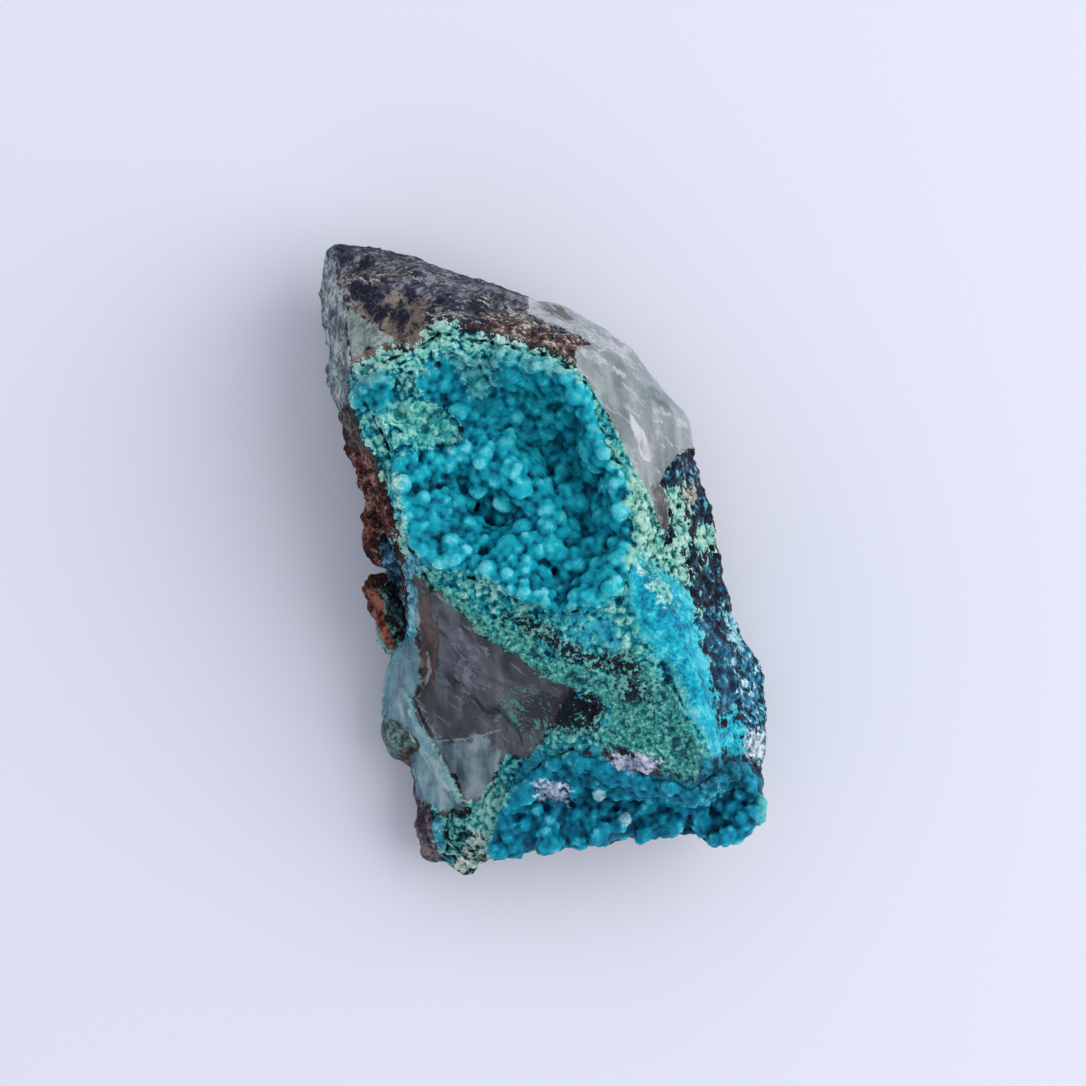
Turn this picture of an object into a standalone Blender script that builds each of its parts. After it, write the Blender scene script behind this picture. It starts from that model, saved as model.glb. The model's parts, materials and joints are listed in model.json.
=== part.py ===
"""Chrysocolla specimen: a broken block of stone with two hollows, each lined with a crust of round
chrysocolla beads. +X is right, +Y is towards the sharp tip, +Z is up, and the stone lies on its flat base.
"""

import math
import random

import bmesh
import bpy
from mathutils import Euler, Matrix, Vector, noise
from mathutils.bvhtree import BVHTree
from mathutils.geometry import delaunay_2d_cdt

# Driving dimensions, in metres: the stone as it lies.
LENGTH = 0.0792  # along Y
WIDTH = 0.0560  # along X
HEIGHT = 0.0350  # along Z, to the point of the green ledge

# The survey below is in millimetres on a stone of this size, and is stretched to the driving dimensions.
SURVEY_LENGTH = 79.2
SURVEY_WIDTH = 56.0
SURVEY_HEIGHT = 35.0
MM = LENGTH / SURVEY_LENGTH

CRUST_GAP = 0.35  # in survey millimetres, between a crust and the stone that it lines
CRUST_FLOOR = 1.9  # how far the crust's base stands above the hollow's floor
LID = 48.0  # survey height where the cutters end, clear above the stone

STONE_VOXEL = 0.85 * MM
STONE_TRIANGLES = 4150
CRUST_VOXEL = 0.48 * MM
NOISE_SEED = 4

# The girdle is the widest line round the stone, which is what shows from above: (x, y, z) from the tip, clockwise.
GIRDLE = [
    (-28.1, 38.5, 14), (-26.2, 39.7, 15), (-22.9, 39.1, 15), (-17.9, 37.8, 16), (-12.9, 36.3, 16),
    (-7.9, 34.5, 17), (-2.9, 32.6, 18), (0.3, 31.9, 19), (3.4, 30.9, 19), (7.3, 29.1, 18),
    (11.1, 26.5, 17), (13.6, 23.7, 16), (16.1, 20.6, 16), (18.5, 18.3, 15), (19.4, 16.2, 14),
    (19.1, 12.5, 14), (20.3, 8.5, 13), (21.8, 5.6, 13), (22.0, 2.2, 12), (22.5, -1.5, 12),
    (23.4, -5.2, 12), (24.2, -8.4, 12), (25.8, -11.1, 12), (27.3, -12.8, 12), (28.0, -15.3, 13),
    (28.3, -18.3, 13), (28.0, -24.0, 15), (27.8, -27.6, 18), (27.7, -31.9, 19.5), (26.3, -33.9, 19.5),
    (23.8, -35.4, 19), (21.5, -36.1, 19), (19.6, -34.3, 18.5), (16.3, -34.4, 18.5), (12.8, -35.4, 18),
    (11.2, -34.3, 18), (8.4, -35.6, 17.5), (3.0, -36.2, 17), (-1.4, -36.8, 16), (-4.9, -38.2, 14),
    (-7.8, -39.4, 11), (-10.4, -39.9, 10), (-12.4, -38.4, 9), (-14.2, -37.6, 8), (-14.9, -34.6, 8),
    (-15.6, -29.0, 8), (-17.0, -25.6, 8), (-18.6, -23.0, 9), (-20.2, -19.6, 9), (-20.2, -14.8, 9),
    (-18.6, -12.0, 9), (-18.0, -8.0, 9), (-18.6, -2.0, 9), (-19.6, 3.0, 10), (-21.2, 8.4, 10),
    (-24.0, 14.2, 11), (-25.4, 17.4, 11), (-27.2, 20.2, 11), (-27.6, 26.5, 12), (-28.2, 30.8, 12),
    (-28.1, 34.6, 12),
]

# Crests and faces above the girdle, each a run of points along one edge of the stone.
BROWN_CREST = [(-26.4, 37.9, 17.5), (-22.4, 37.3, 20), (-17.3, 36.0, 21.5), (-12.2, 34.3, 23), (-7.0, 32.5, 24.5),
               (-1.8, 30.5, 26), (3.6, 28.6, 26.5), (7.6, 26.6, 26)]
LEFT_CREST = [(-25.7, 35.0, 20), (-25.0, 31.0, 23), (-24.5, 27.5, 25.5), (-24.2, 24.0, 27)]
BROWN_FACE = [(-20.0, 31.8, 25.5), (-14.0, 30.6, 27.8), (-8.0, 29.4, 29.5), (-1.5, 27.6, 30.3)]
HOLLOW_RIM = [(-21.6, 25.0, 28), (-16.0, 27.4, 30), (-11.6, 29.0, 31), (-5.4, 27.4, 32), (2.1, 25.0, 32.5),
              (6.9, 21.9, 33), (8.4, 16.8, 33.5), (11.6, 11.6, 33.5), (12.8, 7.6, 33.5), (12.7, 1.6, 33),
              (11.6, -3.4, 33), (7.4, -7.6, 32.5), (0.4, -7.8, 31.5), (-6.2, -5.6, 30), (-11.4, -3.4, 29),
              (-15.0, -2.8, 28), (-18.2, 1.2, 27.5), (-20.0, 6.2, 27.5), (-20.9, 10.0, 27.5), (-22.2, 13.6, 27.5),
              (-24.4, 18.2, 27)]
QUARTZ_SHOULDER = [(8.4, 25.0, 29), (11.9, 22.3, 26.5), (14.6, 18.9, 25), (17.2, 16.2, 22.5), (11.8, 17.4, 30.5),
                   (14.0, 12.8, 29.5), (17.6, 11.6, 21.5), (15.6, 8.0, 28.5)]
DARK_SLOPE = [(16.6, 3.4, 27.5), (19.6, 4.2, 19), (15.2, -1.0, 30), (17.6, -3.2, 27.5), (20.8, -3.0, 19.5),
              (19.4, -8.6, 26.5), (22.4, -9.2, 18.5), (21.6, -14.0, 25.5), (25.0, -14.6, 18.5),
              (23.0, -19.6, 25), (26.2, -20.6, 19.5), (24.0, -24.4, 25), (26.4, -26.2, 21.5)]
LEDGE_EDGE = [(14.2, -5.0, 32.5), (17.2, -10.4, 33), (19.3, -16.0, 33.8), (20.7, -21.5, 34.6), (21.0, -25.9, 35),
              (18.2, -26.7, 34.6), (13.4, -24.6, 33.8), (7.6, -22.8, 32.4), (3.0, -21.2, 30.8)]
LEDGE_TOP = [(-9.2, -7.6, 29), (-4.6, -9.8, 30.6), (3.4, -12.4, 31.6), (9.4, -11.6, 32.8), (8.6, -17.6, 32.4),
             (14.6, -17.6, 33.8)]
SMOKY_EDGE = [(-14.9, -5.2, 27.6), (-10.0, -9.4, 28.8), (-6.4, -13.0, 29.4), (-2.4, -15.6, 29.8), (1.0, -17.8, 29.8),
              (0.4, -21.2, 27), (-2.6, -24.2, 22.5), (-5.0, -27.2, 19), (-7.6, -29.6, 17)]
SMOKY_FACE = [(-11.6, -13.6, 20.5), (-8.6, -19.6, 18.6), (-4.4, -19.6, 23), (-8.2, -25.4, 16)]
SMOKY_FOOT = [(-14.6, -9.5, 20), (-14.0, -15.5, 16.6), (-12.8, -20.5, 14.6), (-10.9, -26.0, 13.6)]
LEFT_SEAM = [(-16.6, -4.2, 20.5), (-16.2, -9.6, 18), (-17.4, -14.0, 16.5), (-17.4, -17.2, 16), (-14.9, -22.6, 15.8),
             (-12.8, -26.2, 15), (-10.6, -29.8, 15)]
CORNER = [(-12.6, -35.2, 14), (-9.6, -37.2, 15), (-5.6, -36.0, 18), (-9.8, -32.8, 16.5), (-6.0, -32.2, 18.6)]
SOUTH_RIM = [(-2.6, -35.4, 20), (1.2, -35.1, 21.4), (6.8, -34.8, 22.4), (11.6, -33.4, 21.6), (16.4, -33.5, 22.2),
             (19.5, -33.6, 22.4), (21.6, -35.0, 22.8), (25.2, -33.2, 23.4), (26.8, -29.8, 23.6)]
CROWN = [BROWN_CREST, LEFT_CREST, HOLLOW_RIM, LEDGE_EDGE, SMOKY_EDGE, SMOKY_FOOT, LEFT_SEAM, SOUTH_RIM]
CROWN_SPOTS = BROWN_FACE + QUARTZ_SHOULDER + DARK_SLOPE + LEDGE_TOP + SMOKY_FACE + CORNER

# Below the girdle: a belt where the flanks turn in, and the edge of the flat base.
BELT = [
    (-25.0, 35.0, 6), (-16.0, 34.6, 6), (-6.0, 31.6, 6), (3.0, 28.6, 6), (11.0, 23.0, 5), (16.2, 15.8, 5),
    (18.0, 7.0, 4), (20.4, -2.0, 4), (23.2, -10.0, 4), (25.8, -18.0, 5), (25.2, -29.0, 6), (19.4, -33.0, 7),
    (9.0, -34.2, 6), (0.0, -35.0, 5), (-8.0, -37.2, 4), (-12.8, -35.2, 3), (-14.6, -26.0, 3),
    (-17.2, -18.0, 3), (-16.4, -8.0, 3), (-17.4, 3.0, 4), (-21.2, 13.0, 4), (-24.9, 21.0, 5), (-26.2, 29.0, 6),
]
BASE = [
    (-19.0, 30.0, 0), (-9.0, 29.5, 0), (1.0, 25.0, 0), (9.0, 18.5, 0), (13.6, 10.0, 0), (16.0, -2.0, 0),
    (20.0, -11.0, 0), (22.0, -21.0, 0), (19.0, -29.6, 0), (8.0, -32.0, 0), (-3.0, -33.0, 0), (-9.8, -33.4, 0),
    (-12.0, -22.0, 0), (-14.0, -9.0, 0), (-14.6, 3.0, 0), (-18.0, 13.0, 0), (-22.4, 23.0, 0),
]

# Iron-stained plates that stand out of the left flank, lowest last: middle, size and tilt in degrees.
PLATES = [
    {"middle": (-20.0, 3.0, 15), "size": (3.0, 8.6, 11.0), "tilt": (12, -10, 14)},
    {"middle": (-20.0, -7.0, 12), "size": (2.2, 10.4, 9.0), "tilt": (0, -8, 13)},
    {"middle": (-20.8, -4.8, 10), "size": (2.0, 5.0, 7.0), "tilt": (8, 6, 2)},
    {"middle": (-22.2, 11.6, 14), "size": (2.6, 8.0, 9.0), "tilt": (0, -8, 26)},
    {"middle": (-14.4, -33.0, 7.5), "size": (2.2, 10.8, 9.0), "tilt": (0, -4, 6)},
]
KNOBS = [
    {"middle": (-17.8, -20.8, 9.0), "size": (5.0, 9.0, 8.0), "tilt": (0, 10, 0)},
]
# Pits that open in the flanks and under the ledge.
PITS = [
    {"middle": (-17.7, -6.6, 17.0), "size": (2.2, 4.6, 11.0), "tilt": (0, 0, 8)},
    {"middle": (24.6, 2.0, 8.0), "size": (6.0, 9.0, 5.0), "tilt": (0, 0, 10)},
    {"middle": (4.0, -37.5, 8.0), "size": (12.0, 5.0, 5.0), "tilt": (0, 0, 0)},
    {"middle": (-8.0, 37.0, 8.5), "size": (14.0, 6.0, 5.0), "tilt": (0, 0, -16)},
]

# The hollows: the foot of each wall, the free edge where the hollow is open at the stone's side, and the floor.
UPPER_HOLLOW = {
    "wall": [
        (-22.9, 21.6, 25.5), (-20.6, 23.6, 25.5), (-17.2, 25.2, 26.5), (-12.6, 27.4, 27.5), (-8.0, 26.8, 28),
        (-2.0, 25.2, 28.5), (1.9, 23.8, 28.5), (5.4, 21.2, 28.5), (6.4, 18.2, 28.5), (7.4, 14.6, 28.5),
        (10.6, 9.8, 28.5), (11.2, 6.6, 28.5), (10.8, 4.8, 29), (11.4, 0.0, 29.5), (10.2, -3.2, 30),
        (7.0, -6.2, 30), (2.2, -6.7, 30), (-2.4, -5.4, 29), (-6.0, -3.4, 28), (-11.0, -1.7, 27),
        (-14.0, -1.3, 26.5), (-16.6, 1.6, 26), (-18.6, 6.2, 26), (-19.2, 10.0, 26), (-19.0, 13.0, 26),
        (-21.2, 17.4, 26), (-23.2, 19.4, 25.5),
    ],
    "free_edge": [],
    "floor": [
        (-20.4, 20.7, 22.4), (-17.2, 22.8, 25.0), (-16.4, 20.6, 23.8), (-16.6, 17.4, 25.2), (-12.0, 16.6, 25.0),
        (-9.6, 22.4, 21.8), (-2.4, 20.2, 21.0), (3.2, 15.8, 21.2), (5.6, 9.6, 21.6), (0.2, 12.8, 21.6),
        (-10.5, 12.6, 24.2), (-4.0, 10.2, 24.8), (-15.0, 9.6, 23.8), (-8.4, 7.0, 20.0), (-4.6, 4.8, 19.6),
        (-12.6, 3.8, 23.6), (-8.0, 0.8, 24.0), (-1.0, 2.6, 25.0), (3.6, 0.4, 25.4), (2.2, -3.4, 23.4),
        (7.4, 3.2, 23.6),
    ],
}
LOWER_HOLLOW = {
    "wall": [
        (-7.0, -37.0, 18.0), (-5.6, -33.0, 18.4), (-3.4, -29.0, 20.0), (0.4, -25.2, 23.5), (3.6, -23.9, 25.5),
        (7.3, -24.9, 26.5), (11.0, -26.1, 27), (14.6, -27.1, 27.5), (18.4, -28.0, 27), (20.6, -27.2, 26),
        (22.6, -25.2, 23), (25.2, -26.0, 22), (26.9, -28.4, 21.5),
    ],
    "free_edge": [
        (27.7, -30.6, 21.6), (27.2, -32.8, 21.6), (25.4, -34.4, 21.2), (21.6, -36.0, 20.6), (20.9, -34.6, 20.4),
        (19.4, -33.8, 20), (16.3, -33.9, 19.6), (14.2, -34.8, 19.4), (12.5, -35.3, 19.2), (11.9, -33.8, 19.2),
        (10.6, -34.1, 19.2), (9.8, -35.2, 19), (5.8, -35.7, 19), (1.0, -36.0, 18.6), (-3.4, -37.4, 18),
    ],
    "floor": [
        (-2.2, -32.6, 17.6), (3.2, -29.4, 18.0), (8.8, -30.2, 17.4), (14.4, -30.8, 17.6), (19.4, -31.0, 17.6),
        (23.2, -28.4, 17.8), (25.0, -31.4, 19.6),
    ],
}

UPPER_BEADS = {"count": 120, "spacing": 2.45, "radius": (1.3, 1.9), "seed": 11}
LOWER_BEADS = {"count": 60, "spacing": 2.1, "radius": (1.0, 1.5), "seed": 5}
WALL_BEADS = {"every": 2, "step": 1.9, "radius": (1.2, 1.6), "seed": 23}

MATERIALS = {
    "stone": {"colour": (0.16, 0.17, 0.18), "roughness": 0.75},
    "chrysocolla": {"colour": (0.01, 0.30, 0.40), "roughness": 0.6},
}


def place(x, y, z):
    """A survey point in metres on this stone."""
    return Vector((x * WIDTH / SURVEY_WIDTH, y * LENGTH / SURVEY_LENGTH, z * HEIGHT / SURVEY_HEIGHT))


def material(name):
    made = bpy.data.materials.new(name)
    made.use_nodes = True
    shader = made.node_tree.nodes["Principled BSDF"]
    shader.inputs["Base Color"].default_value = (*MATERIALS[name]["colour"], 1.0)
    shader.inputs["Roughness"].default_value = MATERIALS[name]["roughness"]
    shader.inputs["Metallic"].default_value = 0.0
    return made


def object_from(name, bm, collection):
    """A new object that holds this bmesh, which is freed."""
    bmesh.ops.recalc_face_normals(bm, faces=bm.faces)
    mesh = bpy.data.meshes.new(name)
    bm.to_mesh(mesh)
    bm.free()
    obj = bpy.data.objects.new(name, mesh)
    collection.objects.link(obj)
    return obj


def apply_modifiers(obj):
    """Keeps the object's mesh as its modifiers leave it."""
    bpy.context.view_layer.update()
    evaluated = obj.evaluated_get(bpy.context.evaluated_depsgraph_get())
    finished = bpy.data.meshes.new_from_object(evaluated)
    obj.modifiers.clear()
    obj.data = finished


def sort_mesh(obj):
    """Puts the mesh's corners and faces in order of place, so that every build gives the same stone."""
    corners = [tuple(vertex.co) for vertex in obj.data.vertices]
    order = sorted(range(len(corners)), key=lambda i: corners[i])
    rank = {old: new for new, old in enumerate(order)}
    faces = []
    for polygon in obj.data.polygons:
        ring = [rank[i] for i in polygon.vertices]
        start = ring.index(min(ring))
        faces.append(ring[start:] + ring[:start])
    mesh = bpy.data.meshes.new(obj.name)
    mesh.from_pydata([corners[i] for i in order], [], sorted(faces))
    obj.data = mesh


def remesh(obj, voxel):
    modifier = obj.modifiers.new("Remesh", "REMESH")
    modifier.mode = "VOXEL"
    modifier.voxel_size = voxel
    apply_modifiers(obj)
    sort_mesh(obj)
    keep_largest_shell(obj)


def decimate(obj, triangles):
    modifier = obj.modifiers.new("Decimate", "DECIMATE")
    count = sum(len(face.vertices) - 2 for face in obj.data.polygons)
    modifier.ratio = min(1.0, triangles / count)
    apply_modifiers(obj)


def keep_largest_shell(obj):
    """Drops the crumbs and closed pockets that a cut leaves beside the main body."""
    bm = bmesh.new()
    bm.from_mesh(obj.data)
    left = set(bm.faces)
    shells = []
    while left:
        stack = [left.pop()]
        shell = []
        while stack:
            face = stack.pop()
            shell.append(face)
            near = {other for edge in face.edges for other in edge.link_faces if other in left}
            left -= near
            stack += near
        shells.append(shell)
    shells.sort(key=len)
    crumbs = [face for shell in shells[:-1] for face in shell]
    bmesh.ops.delete(bm, geom=crumbs, context="FACES")
    bm.to_mesh(obj.data)
    bm.free()


def boolean(obj, other, operation):
    modifier = obj.modifiers.new("Boolean", "BOOLEAN")
    modifier.operation = operation
    modifier.object = other
    modifier.solver = "EXACT"
    apply_modifiers(obj)
    keep_largest_shell(obj)


def sheet(bm, outline, runs, spots):
    """Adds a triangulated sheet inside the outline, through its points, the runs and the spots."""
    points = list(outline)
    creases = []
    for run in runs:
        creases += [(len(points) + i, len(points) + i + 1) for i in range(len(run) - 1)]
        points += run
    points += spots
    loop = [list(range(len(outline)))]
    flat = [Vector((x, y)) for x, y, z in points]
    inside_outline = 1
    _, _, faces, sources, _, _ = delaunay_2d_cdt(flat, creases, loop, inside_outline, 1e-5)
    corners = [bm.verts.new(place(*point)) for point in points]
    for face in faces:
        bm.faces.new([corners[sources[i][0]] for i in face])


def closed_block(name, collection, outline, top, bottom):
    """Two sheets that share an outline, sewn into one closed block. top and bottom are (runs, spots)."""
    bm = bmesh.new()
    sheet(bm, outline, *top)
    sheet(bm, outline, *bottom)
    bmesh.ops.remove_doubles(bm, verts=bm.verts, dist=0.01 * MM)
    return object_from(name, bm, collection)


def roughen(obj, grain, depth, outline_share, seed):
    """Gives the surface the facets and small ledges of broken stone. grain is their width and depth their reach.
    The upright faces, which make the stone's outline from above, take only a share of it."""
    offset = Vector((seed * 7.3, seed * 3.1, seed * 5.7))
    normals = [vertex.normal.copy() for vertex in obj.data.vertices]
    for vertex, normal in zip(obj.data.vertices, normals):
        at = vertex.co / grain + offset
        facet_middle = noise.voronoi(at, distance_metric="DISTANCE", exponent=2.5)[1][0]
        tilt = noise.noise_vector(facet_middle * 5.3)
        facet = (at - facet_middle).dot(tilt)
        swell = noise.fractal(at * 2.2, 0.9, 2.1, 2, noise_basis="PERLIN_ORIGINAL")
        share = outline_share + (1 - outline_share) * min(1.0, 1.6 * abs(normal.z))
        vertex.co += normal * depth * share * (2.2 * facet + 0.35 * swell)
    obj.data.update()


def spaced_matrix(middle, size, tilt):
    """Places a unit shape: its middle on the survey, its size in millimetres and its tilt in degrees."""
    turn = Euler([math.radians(angle) for angle in tilt]).to_matrix().to_4x4()
    return Matrix.Translation(place(*middle)) @ turn @ Matrix.Diagonal((*[side * MM for side in size], 1.0))


def plate(name, collection, middle, size, tilt):
    """A flat flake with a broken outline."""
    bm = bmesh.new()
    bmesh.ops.create_cube(bm, size=1.0)
    bmesh.ops.bevel(bm, geom=bm.edges[:], offset=0.22, segments=1, affect="EDGES")
    bmesh.ops.transform(bm, matrix=spaced_matrix(middle, size, tilt), verts=bm.verts)
    obj = object_from(name, bm, collection)
    modifier = obj.modifiers.new("Subdivide", "SUBSURF")
    modifier.subdivision_type = "SIMPLE"
    modifier.levels = 3
    modifier.render_levels = 3
    apply_modifiers(obj)
    for vertex in obj.data.vertices:
        vertex.co += noise.noise_vector(vertex.co / (1.9 * MM)) * 0.9 * MM
    return obj


def knob(name, collection, middle, size, tilt):
    bm = bmesh.new()
    bmesh.ops.create_icosphere(bm, subdivisions=3, radius=0.5, matrix=spaced_matrix(middle, size, tilt))
    return object_from(name, bm, collection)


def join(objects):
    """Joins the meshes of several objects into the first one, as loose shells."""
    first = objects[0]
    bm = bmesh.new()
    for obj in objects:
        bm.from_mesh(obj.data)
    bm.to_mesh(first.data)
    bm.free()
    for obj in objects[1:]:
        bpy.data.objects.remove(obj)
    return first


def moved_sideways(outline, reach):
    """The outline with each point moved square to its neighbours, inwards where reach is above zero."""
    area = sum(a[0] * b[1] - b[0] * a[1] for a, b in zip(outline, outline[1:] + outline[:1]))
    side = 1.0 if area > 0 else -1.0
    moved = []
    for i, (x, y, z) in enumerate(outline):
        before, after = outline[i - 1], outline[(i + 1) % len(outline)]
        along = Vector((after[0] - before[0], after[1] - before[1])).normalized()
        moved.append((x - side * along.y * reach, y + side * along.x * reach, z))
    return moved


def ragged(run, step=1.3, depth=0.55):
    """The run of points cut into short steps, each moved a little, as a broken edge is."""
    points = []
    for a, b in zip(run, run[1:]):
        pieces = max(1, round((Vector(b) - Vector(a)).xy.length / step))
        points += [Vector(a).lerp(Vector(b), i / pieces) for i in range(pieces)]
    points.append(Vector(run[-1]))
    for point in points:
        shake = noise.noise_vector(point * 0.9) * depth
        point.xy += shake.xy
    return [tuple(point) for point in points]


def hollow_outline(hollow):
    """The hollow's whole outline, and how many of its points belong to the wall."""
    if hollow["free_edge"]:
        wall = ragged(hollow["wall"])
        return wall + ragged(hollow["free_edge"], depth=0.3), len(wall)
    closed = ragged(hollow["wall"] + hollow["wall"][:1])[:-1]
    return closed, len(closed)


def hollow_block(name, collection, hollow, gap, lift, opening):
    """The space of a hollow, up to the lid. gap takes its wall in, lift raises its floor and opening is how
    far it runs on past its free edge."""
    outline, wall_count = hollow_outline(hollow)
    bm = bmesh.new()
    sheet(bm, outline, [], hollow["floor"])
    moved = moved_sideways(outline, gap)[:wall_count] + moved_sideways(outline, -opening)[wall_count:]
    for vertex, spot in zip(list(bm.verts), moved + hollow["floor"]):
        vertex.co = place(spot[0], spot[1], spot[2] + lift)
    rim = [edge for edge in bm.edges if edge.is_boundary]
    lid = bmesh.ops.extrude_edge_only(bm, edges=rim)["geom"]
    for point in (item for item in lid if isinstance(item, bmesh.types.BMVert)):
        point.co.z = place(0, 0, LID).z
    bmesh.ops.contextual_create(bm, geom=[edge for edge in bm.edges if edge.is_boundary])
    return object_from(name, bm, collection)


def stone_body(collection, helpers):
    """The whole stone before its hollows are cut."""
    body = closed_block("stone_matrix", collection, GIRDLE, (CROWN, CROWN_SPOTS), ([], BELT + BASE))
    lumps = [plate("plate", collection, **sizes) for sizes in PLATES]
    lumps += [knob("knob", collection, **sizes) for sizes in KNOBS]
    body = join([body] + lumps)
    remesh(body, STONE_VOXEL)
    boolean(body, join([knob("pit", helpers, **sizes) for sizes in PITS]), "DIFFERENCE")
    roughen(body, 8 * MM, 0.75 * MM, 0.25, 3)
    roughen(body, 3.4 * MM, 0.35 * MM, 0.8, 8)
    remesh(body, STONE_VOXEL * 0.8)
    decimate(body, STONE_TRIANGLES)
    return body


def cut_base(body):
    """Cuts the underside flat, so that the stone lies on one level face."""
    bm = bmesh.new()
    bm.from_mesh(body.data)
    everything = bm.verts[:] + bm.edges[:] + bm.faces[:]
    low = Vector((0, 0, 0.5 * MM))
    bmesh.ops.bisect_plane(bm, geom=everything, dist=1e-7, plane_co=low, plane_no=(0, 0, -1), clear_outer=True)
    bmesh.ops.contextual_create(bm, geom=[edge for edge in bm.edges if edge.is_boundary])
    bm.to_mesh(body.data)
    bm.free()


def tree_of(obj):
    bm = bmesh.new()
    bm.from_mesh(obj.data)
    tree = BVHTree.FromBMesh(bm)
    bm.free()
    return tree


def add_bead(shells, middle, radius):
    shape = Matrix.Translation(middle) @ Matrix.Diagonal((radius, radius, radius * 1.05, 1.0))
    bmesh.ops.create_icosphere(shells, subdivisions=2, radius=1.0, matrix=shape)


def add_floor_beads(shells, space, beads):
    """Round beads scattered over a hollow's floor, with no two closer than the spacing."""
    dice = random.Random(beads["seed"])
    floor = tree_of(space)
    xs = [corner.co.x for corner in space.data.vertices]
    ys = [corner.co.y for corner in space.data.vertices]
    up = Vector((0, 0, 1))
    placed = []
    for _ in range(beads["count"] * 30):
        x = dice.uniform(min(xs), max(xs))
        y = dice.uniform(min(ys), max(ys))
        radius = dice.uniform(*beads["radius"]) * MM
        spot = floor.ray_cast(Vector((x, y, -LENGTH)), up)[0]
        if spot is None or len(placed) >= beads["count"]:
            continue
        middle = spot + up * (CRUST_FLOOR * 0.8 * MM + radius * dice.uniform(0.0, 0.5))
        if all((middle - other).length > beads["spacing"] * MM for other in placed):
            placed.append(middle)
            add_bead(shells, middle, radius)


def add_wall_beads(shells, hollow, whole_stone):
    """Rows of round beads up the walls of a hollow, to the rim of the stone."""
    dice = random.Random(WALL_BEADS["seed"])
    outline, wall_count = hollow_outline(hollow)
    stone = tree_of(whole_stone)
    down = Vector((0, 0, -1))
    for x, y, z in moved_sideways(outline, 0.3)[:wall_count:WALL_BEADS["every"]]:
        foot = place(x, y, z)
        rim = stone.ray_cast(Vector((foot.x, foot.y, LENGTH)), down)[0]
        height = foot.z
        while height < rim.z - 0.2 * MM:
            radius = dice.uniform(*WALL_BEADS["radius"]) * MM
            aside = Vector((dice.uniform(-0.4, 0.4), dice.uniform(-0.4, 0.4), 0)) * MM
            add_bead(shells, Vector((foot.x, foot.y, height)) + aside, radius)
            height += WALL_BEADS["step"] * MM


def add_crust_base(shells, hollow):
    """The slab that the beads grow on: it follows the floor from below it to CRUST_FLOOR above it."""
    outline, wall_count = hollow_outline(hollow)
    wide = moved_sideways(outline, -1.0)
    middle = [(x, y, z + 0.6) for x, y, z in wide]
    slab = bmesh.new()
    for lift in (-1.5, CRUST_FLOOR):
        sheet(slab, middle, [], [(x, y, z + lift) for x, y, z in hollow["floor"]])
    bmesh.ops.remove_doubles(slab, verts=slab.verts, dist=0.01 * MM)
    copy = bpy.data.meshes.new("slab")
    slab.to_mesh(copy)
    slab.free()
    shells.from_mesh(copy)
    bpy.data.meshes.remove(copy)


def crust(name, collection, helpers, hollow, beads, whole_stone, triangles):
    """A lining of beads on a thin base, held inside its hollow with a gap all round."""
    space = hollow_block(name + "_space", helpers, hollow, CRUST_GAP, CRUST_GAP, 0.0)
    shells = bmesh.new()
    add_crust_base(shells, hollow)
    add_floor_beads(shells, space, beads)
    add_wall_beads(shells, hollow, whole_stone)
    made = object_from(name, shells, collection)
    remesh(made, CRUST_VOXEL)
    decimate(made, triangles)
    boolean(made, space, "INTERSECT")
    return made


def set_size(objects):
    """Stretches all the parts alike to the driving dimensions and stands them on the origin."""
    corners = [vertex.co for obj in objects for vertex in obj.data.vertices]
    low = [min(corner[i] for corner in corners) for i in range(3)]
    high = [max(corner[i] for corner in corners) for i in range(3)]
    middle = Vector(((low[0] + high[0]) / 2, (low[1] + high[1]) / 2, low[2]))
    scale = [side / (high[i] - low[i]) for i, side in enumerate((WIDTH, LENGTH, HEIGHT))]
    for obj in objects:
        obj.data.transform(Matrix.Diagonal((*scale, 1.0)) @ Matrix.Translation(-middle))


def build():
    noise.seed_set(NOISE_SEED)
    for obj in list(bpy.data.objects):
        bpy.data.objects.remove(obj)
    parts = bpy.data.collections.new("chrysocolla_specimen")
    helpers = bpy.data.collections.new("cutters")
    for collection in (parts, helpers):
        bpy.context.scene.collection.children.link(collection)

    stone = stone_body(parts, helpers)
    whole_stone = stone.copy()
    whole_stone.data = stone.data.copy()
    helpers.objects.link(whole_stone)
    cut_base(stone)
    for name, hollow in (("upper", UPPER_HOLLOW), ("lower", LOWER_HOLLOW)):
        boolean(stone, hollow_block(name + "_hollow", helpers, hollow, 0.0, 0.0, 4.0), "DIFFERENCE")

    upper = crust("upper_hollow_crust", parts, helpers, UPPER_HOLLOW, UPPER_BEADS, whole_stone, 3700)
    lower = crust("lower_hollow_crust", parts, helpers, LOWER_HOLLOW, LOWER_BEADS, whole_stone, 1700)

    stone.data.materials.clear()
    stone.data.materials.append(material("stone"))
    chrysocolla = material("chrysocolla")
    for lining in (upper, lower):
        lining.data.materials.clear()
        lining.data.materials.append(chrysocolla)
    for helper in list(helpers.objects):
        bpy.data.objects.remove(helper)
    bpy.data.collections.remove(helpers)
    set_size([stone, upper, lower])


build()
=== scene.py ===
import json
import math
import random

import bpy
import numpy as np
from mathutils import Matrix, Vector, noise
from mathutils.bvhtree import BVHTree

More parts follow.
